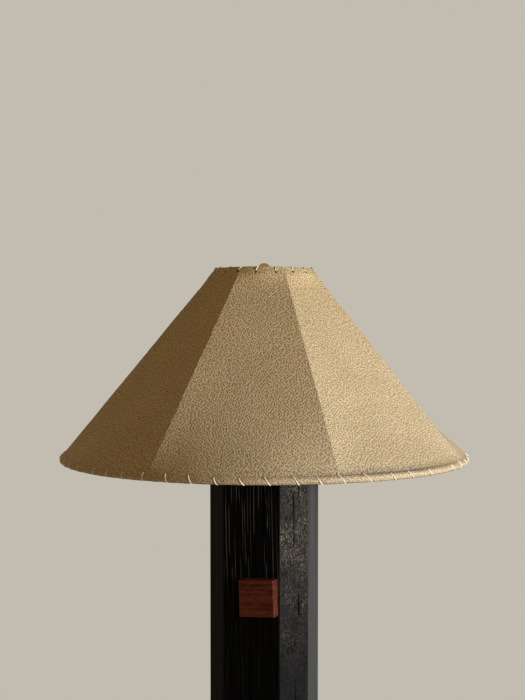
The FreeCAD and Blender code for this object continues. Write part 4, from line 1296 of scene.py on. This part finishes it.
@dataclass
class Lacing:
    """Waxed thread laced over an edge of the shade, one unbroken run through all the holes of a row."""

    form: ShadeForm
    stitching: Stitching
    bottom_thread: float = 1.55 * MM
    top_thread: float = 1.3 * MM
    ply_pitch: float = 3.8 * MM
    ply_depth: float = 0.13
    sides: int = 10
    step: float = 0.8 * MM

    def bottom_stitch(self, stitch: Stitch, after: Stitch) -> list[tuple[float, float, float]]:
        """Lead the thread out of its hole, over the bead, and up inside to the next hole.

        Args:
            stitch: The stitch.
            after: The next one.

        Returns:
            Azimuth, out and up of each point.
        """
        bead = self.form.bead
        ride = bead - 0.12 * self.bottom_thread
        degrees = stitch.slant * math.degrees(1 / self.form.ring_radius)
        hole = stitch.azimuth
        points = [(hole, -3.4 * MM, 3.9 * MM), (hole, 0.0, 3.4 * MM)]
        points += [(hole, 2.6 * MM, max(stitch.up, 2.4 * MM)), (hole, bead - 0.5 * MM, stitch.up)]
        for way in np.linspace(0.7 * MM, stitch.up, 3):
            points.append((hole + degrees * way, ride, stitch.up - way))
        for turn in np.linspace(0, math.pi, 14)[1:]:
            way = stitch.up + bead * min(turn, self.stitching.hold)
            points.append((hole + degrees * way, ride * math.cos(turn), -ride * math.sin(turn)))
        points.append(((points[-1][0] + after.azimuth) / 2, -ride - 0.2 * MM, 1.8 * MM))
        return points

    def top_stitch(self, stitch: Stitch, after: Stitch) -> list[tuple[float, float, float]]:
        """Lead the thread out of its hole, over the cut edge, and round the wire inside to the next hole.

        Args:
            stitch: The stitch.
            after: The next one.

        Returns:
            Azimuth, out and up of each point.
        """
        form, thick = self.form, self.top_thread
        degrees = stitch.slant * math.degrees(1 / form.top_radius)
        hole, up = stitch.azimuth, stitch.up
        under = form.bead - form.skin - 0.5 * thick
        middle = form.bead - form.skin / 2
        reach = form.skin / 2 + 0.55 * thick
        rise = form.edge - up
        points = [(hole, under - 1.2 * MM, up + 0.8 * MM), (hole, form.bead - 0.8 * MM, up + 1.1 * MM)]
        for way in np.linspace(1.9 * MM, rise - 0.4 * MM, 4):
            points.append((hole + degrees * way, form.bead + 0.3 * thick, up + way))
        for turn in np.linspace(0.3, math.pi - 0.3, 5):
            azimuth = hole + degrees * (rise + turn * MM)
            over = form.edge + 0.5 * thick * math.sin(turn)
            points.append((azimuth, middle + reach * math.cos(turn), over))
        lifts = [float(form.cut_lift(np.array(turn), np.array(high))) for turn, _, high in points]
        points = [(turn, out, high + lift) for (turn, out, high), lift in zip(points, lifts)]
        start = points[-1][0]
        wrap = 2.5 * MM + 0.62 * thick
        for turn in np.linspace(1.9, 4.6, 8):
            azimuth = start + (0.25 + 0.55 * (turn - 1.9) / 2.7) * (after.azimuth - start)
            place = (form.top_out + wrap * math.cos(turn), form.top_up + wrap * math.sin(turn))
            points.append((azimuth, *place))
        return points

    def run_through(self, stitches: list[Stitch], lead: Callable[[Stitch, Stitch], list]) -> Array:
        """String one stitch after another into a closed run of thread.

        Args:
            stitches: The row of stitches.
            lead: What gives the points of one stitch.

        Returns:
            Evenly spaced points in space.
        """
        first = replace(stitches[0], azimuth=stitches[0].azimuth + 360)
        route = [point for pair in zip(stitches, stitches[1:] + [first]) for point in lead(*pair)]
        points = self.form.place(*np.array(route).T)
        points = np.vstack([points, points[:1]])
        way = np.append(0, np.cumsum(np.linalg.norm(np.diff(points, axis=0), axis=1)))
        spots = np.linspace(0, way[-1], int(way[-1] / self.step), endpoint=False)
        line = np.stack([np.interp(spots, way, points[:, axis]) for axis in range(3)], axis=-1)
        for _ in range(2):
            line = (np.roll(line, 1, axis=0) + 2 * line + np.roll(line, -1, axis=0)) / 4
        return line

    def cord_mesh(self, line: Array, thick: float) -> tuple[Array, list[list[int]]]:
        """Wrap a two-ply round thread about a closed line.

        Args:
            line: Evenly spaced points.
            thick: The thread's diameter.

        Returns:
            The thread's points and faces.
        """
        heading = np.roll(line, -1, axis=0) - np.roll(line, 1, axis=0)
        heading /= np.linalg.norm(heading, axis=1)[:, None]
        outward = line * (1, 1, 0)
        outward /= np.linalg.norm(outward, axis=1)[:, None]
        sideways = np.cross(np.array([0.0, 0.0, 1.0]), outward)
        first = sideways - heading * np.sum(sideways * heading, axis=1)[:, None]
        first /= np.linalg.norm(first, axis=1)[:, None]
        second = np.cross(heading, first)
        angle = np.linspace(0, 2 * math.pi, self.sides, endpoint=False)[None, :, None]
        way = np.arange(len(line))[:, None, None] * self.step
        plies = 1 + self.ply_depth * np.cos(2 * angle - 2 * math.pi * way / self.ply_pitch)
        spread = np.cos(angle) * first[:, None, :] + np.sin(angle) * second[:, None, :]
        points = line[:, None, :] + thick / 2 * plies * spread
        return points, grid_faces(len(line), self.sides, closed=True).tolist()

    def build(self) -> list[bpy.types.Object]:
        """Make both lacings and let them stand for the stitches.

        Returns:
            The bottom one and the top one.
        """
        stitching = self.stitching
        thread = THREAD.build()
        made = []
        for name, node, thick, stitches, lead in (
            ("bottom_lace", "bottom_lacing", self.bottom_thread, stitching.bottom, self.bottom_stitch),
            ("top_lace", "top_lacing", self.top_thread, stitching.top, self.top_stitch),
        ):
            points, faces = self.cord_mesh(self.run_through(stitches, lead), thick)
            piece = add_piece(name, points, faces, [thread], sharp=False)
            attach(piece, "shade")
            made.append(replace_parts(piece, node))
        return made


class Working(Enum):
    """How a face of the timber was worked."""

    BRUSHED = "brushed"
    PEBBLED = "pebbled"
    PLANED = "planed"
    BROWN = "brown"
    PLINTH = "plinth"


TIMBER_FINISHES = {
    Working.BRUSHED: OAK_BRUSHED,
    Working.PEBBLED: OAK_PEBBLED,
    Working.PLANED: OAK_PLANED,
    Working.BROWN: OAK_WARM_LIT,
    Working.PLINTH: OAK_PLINTH,
}

# For the small and the large relief of each working: its depth in millimetres, and how much is cut.
CUTS = {
    Working.BRUSHED: ((0.42, 0.25), (0.4, 0.2)),
    Working.PEBBLED: ((0.32, 0.4), (0.4, 0.3)),
    Working.PLANED: ((0.06, 0.3), (0.1, 0.2)),
    Working.BROWN: ((0.12, 0.3), (0.2, 0.2)),
    Working.PLINTH: ((0.36, 0.25), (0.3, 0.2)),
}


@dataclass(frozen=True)
class Check:
    """A drying check or a knot's bark line: a narrow groove on one face, along a few chosen points."""

    face: int
    places: tuple[tuple[float, float], ...]
    depth: float = 1.3 * MM
    width: float = 0.6 * MM


@dataclass
class TimberBlock:
    """An eight-sided block of oak with a bore through it, its surface worked by hand.

    Its faces are numbered from the front one, going round by the right.
    """

    name: str
    node: str
    leg: float
    bevel: float
    faces: tuple[Working, ...]
    bore: float
    pocket: float
    pocket_depth: float
    face_steps: tuple[float, ...]
    row_step: float
    end_rows: int
    end_bevel: float
    checks: tuple[Check, ...] = ()
    knot: tuple[int, float, float] | None = None
    # Painted shade: the height below which the column is painted darker, over what run, and how much.
    painted_shade_top: float = 0.0
    painted_shade_run: float = 1.0
    painted_shade_share: float = 0.0
    # How strong the painted glints on the brushed ridges are, and where they thin out lower down.
    wear: float = 0.0
    glint_bottom: float = 1090 * MM
    glint_run: float = 70 * MM
    low_glint: float = 0.12
    crest_spacing: float = 3.5 * MM
    groove_width: float = 1.7 * MM
    groove_length: float = 120 * MM
    broad_grooves: tuple[float, float, float] = (0.42, 0.42, 0.6)
    pebble_spacing: float = 3.4 * MM
    knob_spacing: float = 8.5 * MM
    end_groove: float = 0.45 * MM
    along_x: bool = False

    def outline(self) -> tuple[Array, Array, Array, Array]:
        """Walk round the block's outline.

        Returns:
            Points, their outward directions, the face that each lies on, and the share along that face.
        """
        wide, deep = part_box(self.node)[1].xy
        leg, trim = self.leg, self.bevel
        corners = np.array([
            (-wide + leg, -deep), (wide - leg, -deep), (wide, -deep + leg), (wide, deep - leg),
            (wide - leg, deep), (-wide + leg, deep), (-wide, deep - leg), (-wide, -deep + leg),
        ])
        points, normals, numbers, shares = [], [], [], []
        for number, start in enumerate(corners):
            end = corners[(number + 1) % len(corners)]
            length = float(np.linalg.norm(end - start))
            along = (end - start) / length
            outward = np.array([along[1], -along[0]])
            count = max(int((length - 2 * trim) / self.face_steps[number]), 4)
            for way in np.linspace(trim, length - trim, count):
                points.append(start + along * way)
                normals.append(outward)
                shares.append(way / length)
            tip = outward * math.cos(math.pi / 8) + along * math.sin(math.pi / 8)
            points.append(end - tip * trim * 0.2)
            normals.append(tip)
            shares.append(1.0)
            numbers += [number] * (count + 1)
        return np.array(points), np.array(normals), np.array(numbers), np.array(shares)

    def groove_scale(self) -> Array:
        """Give how many grooves a metre holds in each direction."""
        across, along = 1 / self.groove_width, 1 / self.groove_length
        return np.array([along, across, across] if self.along_x else [across, across, along])

    def groove_depth(self, place: Array, numbers: Array) -> Array:
        """Work the surface of the sides: long grooves, or the lumps of weathered wood.

        Args:
            place: Points of the sides.
            numbers: The face of each column of points.

        Returns:
            How deep each point lies, in metres.
        """
        scale = self.groove_scale()
        grooves = (
            soft_noise(place * scale, Field.FINE_GROOVES),
            soft_noise(place * scale * self.broad_grooves, Field.BROAD_GROOVES),
        )
        pebbles = (
            soft_noise(place / self.pebble_spacing, Field.PEBBLES),
            soft_noise(place / self.knob_spacing, Field.KNOBS),
        )
        depth = np.zeros(place.shape[:-1])
        for working, cuts in CUTS.items():
            rough, most = (pebbles, 1.4) if working is Working.PEBBLED else (grooves, 1.0)
            cut = sum(deep * np.clip(share - each, 0, most) for (deep, share), each in zip(cuts, rough))
            chosen = np.array([face is working for face in self.faces])
            depth = np.where(chosen[numbers], cut, depth)
        return depth * MM

    def ridge_glints(self, place: Array, numbers: Array) -> Array:
        """Give where painted glints lie on the tops of the brushed ridges: short runs, and fewer lower down.

        Args:
            place: Points of the sides.
            numbers: The face of each column of points.

        Returns:
            How strong the painted glint is at each point, from 0 to 1.
        """
        height = place[..., 2]
        side = place[..., 0] + place[..., 1] + 0.02 * height
        level = np.zeros_like(height)
        sway = soft_noise(np.stack([side / (13 * MM), level, height / (240 * MM)], axis=-1), Field.RIDGE_SWAY)
        turn = 2 * math.pi * (side / self.crest_spacing + 0.9 * sway)
        ridge = np.clip(2.6 * np.cos(turn) - 1.6, 0, 1)
        run = np.stack([side / (3.0 * MM), level, height / (38 * MM)], axis=-1)
        broken = np.clip(2.4 * soft_noise(run, Field.RIDGE_BREAKS) + 0.15, 0, 1)
        above = np.clip((height - self.glint_bottom) / self.glint_run, 0, 1)
        brushed = np.array([working is Working.BRUSHED for working in self.faces])[numbers]
        return self.wear * ridge * broken * (self.low_glint + (1 - self.low_glint) * above) * brushed

    def check_depth(self, heights: Array, numbers: Array, shares: Array, lengths: Array) -> Array:
        """Cut the drying checks.

        Args:
            heights: The rows' heights.
            numbers: The face of each column of points.
            shares: Where each column lies across its face.
            lengths: How wide that face is.

        Returns:
            How deep they cut in, in metres.
        """
        depth = np.zeros(np.broadcast(heights, shares).shape)
        for check in self.checks:
            nearest = np.full(depth.shape, 1.0)
            for (share_a, level_a), (share_b, level_b) in zip(check.places, check.places[1:]):
                side, rise = (shares - share_a) * lengths, heights - level_a * MM
                run_side, run_up = (share_b - share_a) * lengths, (level_b - level_a) * MM
                way = np.clip((side * run_side + rise * run_up) / (run_side**2 + run_up**2), 0, 1)
                nearest = np.minimum(nearest, np.hypot(side - way * run_side, rise - way * run_up))
            groove = check.depth * bell(nearest, check.width)
            depth = np.maximum(depth, np.where(numbers == check.face, groove, 0))
        return depth

    def sides(self, walk: tuple[Array, Array, Array, Array], heights: Array) -> tuple[Array, Array, Array]:
        """Shape the block's sides.

        Args:
            walk: What outline gives.
            heights: The rows' heights.

        Returns:
            Points, the marks for the finish, and how deep the first and last row lie.
        """
        outline, normals, numbers, shares = walk
        steps = np.linalg.norm(np.roll(outline, -1, axis=0) - outline, axis=1)
        lengths = np.bincount(numbers, steps)[numbers]
        points = np.zeros((len(heights), len(outline), 3))
        points[..., :2] = outline
        points[..., 2] = heights
        depth = self.groove_depth(points, numbers) + self.check_depth(heights, numbers, shares, lengths)
        hollow = np.clip((depth - 0.25 * MM) / (0.9 * MM), 0, 1)
        knot_mark = np.zeros_like(depth)
        if self.knot:
            # Growth rings round the knot, and its dark heart.
            face, share, level = self.knot
            reach = np.hypot((shares - share) * lengths * 1.25, heights - level * MM)
            rings = 0.5 + 0.5 * np.sin(reach / (0.62 * MM))
            rings = rings * np.where(numbers == face, bell(reach, 15 * MM), 0)
            depth = depth + 0.3 * MM * rings
            knot_mark = np.where(numbers == face, bell(reach, 4.2 * MM), 0) * 0.7 + 0.35 * rings
        points[..., :2] -= depth[..., None] * normals
        # Painted glints on the ridges, none in the hollows.
        crest = self.ridge_glints(points, numbers) * (1 - hollow)
        # Painted shade: from a set height down, the column is painted darker.
        thick = np.clip((self.painted_shade_top - heights) / self.painted_shade_run, 0, 1) * self.painted_shade_share
        hollow = np.maximum(hollow, np.clip(knot_mark, 0, 1))
        return points, np.stack([hollow, crest, thick + np.zeros_like(hollow)], axis=-1), depth[[0, -1]]

    def build(self, body: str, slot: str) -> bpy.types.Object:
        """Make the block and let it stand for its node.

        Args:
            body: The body that it rides on.
            slot: Its slot in the record; not used.

        Returns:
            The block.
        """
        low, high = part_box(self.node)
        walk = outline, normals, numbers, _ = self.outline()
        rows = int((high.z - low.z) / self.row_step)
        heights = np.linspace(high.z - self.end_bevel, low.z + self.end_bevel, rows)[:, None]
        upright, side_marks, (top_depth, bottom_depth) = self.sides(walk, heights)

        angle = np.arctan2(outline[:, 1], outline[:, 0])
        circle = np.stack([np.cos(angle), np.sin(angle)], axis=-1)
        share = np.linspace(0, 1, self.end_rows)[:, None, None]
        ends = []
        for depth, level, radius in ((bottom_depth, low.z, self.pocket), (top_depth, high.z, self.bore)):
            rim = outline - normals * (depth[:, None] + self.end_bevel)
            flat = rim * (1 - share) + circle * radius * share
            ends.append(np.concatenate([flat, np.full((*flat.shape[:2], 1), level)], axis=-1))
        bottom, top = ends
        if self.along_x:
            cut = np.clip(0.25 - soft_noise(top * self.groove_scale(), Field.FINE_GROOVES), 0, 1)
            top[..., 2] -= self.end_groove * cut
        ceiling = low.z + self.pocket_depth
        bores = []
        for radius, levels in (
            (self.pocket, np.linspace(low.z, ceiling, 4)[1:]),
            (self.bore, np.linspace(ceiling, high.z, 5)[:-1]),
        ):
            flat = np.broadcast_to(circle * radius, (len(levels), len(outline), 2))
            plane = np.broadcast_to(levels[:, None, None], (len(levels), len(outline), 1))
            bores.append(np.concatenate([flat, plane], axis=-1))
        points = np.concatenate([upright, bottom, *bores, top[::-1]])
        marks = np.concatenate([side_marks, np.zeros((len(points) - rows, len(outline), 3))])

        quads = grid_faces(*points.shape[:2], closed=True).tolist()
        kinds = list(dict.fromkeys(self.faces))
        finish_of = np.array([kinds.index(working) for working in self.faces])
        patches = np.tile(finish_of[numbers], len(points))
        finishes = [TIMBER_FINISHES[kind].build() for kind in kinds]
        piece = add_piece(self.name, points, quads, finishes, patches, {"relief": marks})
        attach(piece, body)
        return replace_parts(piece, self.node)


def oak_column() -> TimberBlock:
    """Describe the upright timber, its checks as shares across a face and heights in millimetres.

    Returns:
        The block, not yet made.
    """
    front_right = 1
    checks = (
        Check(front_right, ((0.68, 1259), (0.67, 1244))),
        Check(front_right, ((0.49, 1246), (0.5, 1222), (0.5, 1198), (0.51, 1177))),
        Check(front_right, ((0.68, 1118), (0.67, 1106), (0.69, 1094)), 1.8 * MM, 0.9 * MM),
        Check(front_right, ((0.56, 1012), (0.57, 985), (0.54, 960), (0.56, 905), (0.53, 842))),
        Check(front_right, ((0.1, 1045), (0.32, 1050), (0.58, 1060)), 1.5 * MM, 1.0 * MM),
        Check(front_right, ((0.97, 1075), (0.99, 1069), (0.97, 1063)), 1.4 * MM, 0.9 * MM),
        Check(front_right, ((0.3, 700), (0.34, 610), (0.28, 540), (0.33, 470))),
        Check(0, ((0.7, 560), (0.72, 480), (0.69, 390), (0.71, 330))),
        Check(4, ((0.35, 1180), (0.38, 1090), (0.34, 990), (0.37, 930))),
        Check(5, ((0.55, 820), (0.5, 700), (0.56, 610))),
        Check(3, ((0.45, 640), (0.5, 520), (0.46, 420))),
    )
    right = (Working.BRUSHED, Working.PEBBLED, Working.PLANED, Working.PEBBLED)
    left = (Working.BRUSHED, Working.PEBBLED, Working.PLANED, Working.BROWN)
    return TimberBlock(
        name="oak_column",
        node="column",
        leg=28.1 * MM,
        bevel=1.2 * MM,
        faces=right + left,
        bore=5.5 * MM,
        pocket=5.5 * MM,
        pocket_depth=1 * MM,
        face_steps=tuple(step * MM for step in (0.65, 0.8, 2.0, 1.6, 1.6, 1.6, 2.0, 1.6)),
        row_step=4.5 * MM,
        end_rows=5,
        end_bevel=1.2 * MM,
        checks=checks,
        knot=(front_right, 0.5, 1052),
        # Painted shade, darker from here down.
        painted_shade_top=1230 * MM,
        painted_shade_run=200 * MM,
        painted_shade_share=0.9,
        # The strength of the painted glints on the brushed ridges.
        wear=0.8,
    )


def oak_plinth() -> TimberBlock:
    """Describe the slab that the column stands on, its grain from side to side.

    Returns:
        The block, not yet made.
    """
    return TimberBlock(
        name="oak_plinth",
        node="base_plinth",
        leg=90.02 * MM,
        bevel=4 * MM,
        faces=(Working.PLINTH,) * 8,
        bore=5.5 * MM,
        pocket=29 * MM,
        pocket_depth=27 * MM,
        face_steps=(2 * MM,) * 8,
        row_step=2.6 * MM,
        end_rows=64,
        end_bevel=4 * MM,
        along_x=True,
    )


def dress_fittings() -> None:
    """Give each node that still shows the finish of its slot."""
    finishes = {slot: finish.build() for slot, finish in SLOT_FINISHES.items()}
    for name, node in sorted(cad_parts.items()):
        if node.hide_render:
            continue
        for place in node.material_slots:
            slot = place.material.name.split(".")[0]
            if slot in finishes:
                place.material = finishes[slot]
            else:
                LOG.warning("%s has no finish for %s", name, slot)
        LOG.info("%s dressed", name)


@dataclass(frozen=True)
class Studio:
    """A pale floor, one large soft light at the right, and a weak warm light from all round."""

    backdrop_colour: str = "#C2BDB0"
    mirrored_share: float = 0.3
    fill_colour: str = "#FFD9A2"
    fill_strength: float = 0.21
    key_colour: str = "#EDF3FF"
    key_target: float = 1.3
    key_azimuth: float = 80.0
    key_height: float = 3.0
    key_distance: float = 2.4
    key_size: float = 0.7
    key_power: float = 75.0
    floor_radius: float = 2.9
    floor_sides: int = 96

    def light(self) -> None:
        """Add the soft light and the world."""
        turn, rise = math.radians(self.key_azimuth), math.radians(self.key_height)
        aim = Vector((math.sin(turn) * math.cos(rise), -math.cos(turn) * math.cos(rise), math.sin(rise)))
        key = bpy.data.lights.new("soft_box", "AREA")
        key.energy = self.key_power
        key.color = linear(self.key_colour)[:3]
        key.shape = "SQUARE"
        key.size = self.key_size
        holder = bpy.data.objects.new("soft_box", key)
        holder.location = Vector((0, 0, self.key_target)) + aim * self.key_distance
        holder.rotation_euler = aim.to_track_quat("Z", "Y").to_euler()
        holder.visible_camera = False
        bpy.context.scene.collection.objects.link(holder)

        world = bpy.data.worlds.new("studio")
        bpy.context.scene.world = world
        world.use_nodes = True
        tree = world.node_tree
        tree.nodes.clear()
        # The backdrop is seen, also through glass, but lights nothing, and metal mirrors little of it.
        camera = add_node(tree, "LightPath", pick="Is Camera Ray")
        through, glossy = (camera.node.outputs[name] for name in ("Is Transmission Ray", "Is Glossy Ray"))
        seen = add_node(tree, "Math", {0: camera, 1: through}, operation="MAXIMUM")
        mirrored = add_node(tree, "Math", {0: glossy, 1: self.mirrored_share}, operation="MULTIPLY")
        share = add_node(tree, "Math", {0: seen, 1: mirrored}, operation="MAXIMUM")
        fill, backdrop = (
            add_node(tree, "Background", {"Color": linear(colour), "Strength": strength})
            for colour, strength in ((self.fill_colour, self.fill_strength), (self.backdrop_colour, 1.0))
        )
        mixed = add_node(tree, "MixShader", {0: share, 1: fill, 2: backdrop})
        add_node(tree, "OutputWorld", {"Surface": mixed})

    def floor(self) -> None:
        """Add the pale floor under the lamp."""
        turns = np.linspace(0, 2 * math.pi, self.floor_sides, endpoint=False)
        rim = np.stack([np.cos(turns), np.sin(turns), np.zeros_like(turns)], axis=-1) * self.floor_radius
        mesh = bpy.data.meshes.new("floor")
        mesh.from_pydata(rim.tolist(), [], [list(range(self.floor_sides))])
        # Matte paint: it takes the lamp's shadow softly and mirrors nothing.
        mesh.materials.append(Finish("pale matte floor", self.backdrop_colour, 0.9, specular=0.1).build())
        piece = bpy.data.objects.new("floor", mesh)
        bpy.context.scene.collection.objects.link(piece)


@dataclass(frozen=True)
class Viewpoint:
    """Where the picture is taken from, worked out from the ring's ellipse and the panels' creases."""

    azimuth: float = 18.888
    distance: float = 2.2389
    height: float = 1.5330
    yaw: float = 0.0532
    pitch: float = 2.941
    frame_height: float = 36.0
    pixels_high: float = 700.0
    focal_pixels: float = 1800.0

    def place(self) -> None:
        """Add the camera and look through it."""
        turn = math.radians(self.azimuth)
        heading = math.radians(self.azimuth + self.yaw)
        drop = math.radians(self.pitch)
        data = bpy.data.cameras.new("photo_view")
        data.sensor_fit = "VERTICAL"
        data.sensor_height = self.frame_height
        data.lens = self.focal_pixels / self.pixels_high * self.frame_height
        camera = bpy.data.objects.new("photo_view", data)
        camera.location = (self.distance * math.sin(turn), -self.distance * math.cos(turn), self.height)
        ahead = math.cos(drop)
        aim = Vector((-math.sin(heading) * ahead, math.cos(heading) * ahead, -math.sin(drop)))
        camera.rotation_euler = aim.to_track_quat("-Z", "Y").to_euler()
        bpy.context.scene.collection.objects.link(camera)
        bpy.context.scene.camera = camera


def main() -> None:
    """Set the view and the light, then make the lamp's pieces in order."""
    logging.basicConfig(level=logging.INFO, format="%(message)s")
    bpy.context.scene.view_settings.view_transform = "Standard"
    Viewpoint().place()
    studio = Studio()
    studio.light()
    studio.floor()
    form = ShadeForm()
    stitching = Stitching(form)
    HideCover(form, stitching).build()
    Lacing(form, stitching).build()
    oak_column().build("stand", "ebonised_oak")
    oak_plinth().build("stand", "ebonised_oak")
    dress_fittings()


if __name__ == "__main__":
    main()
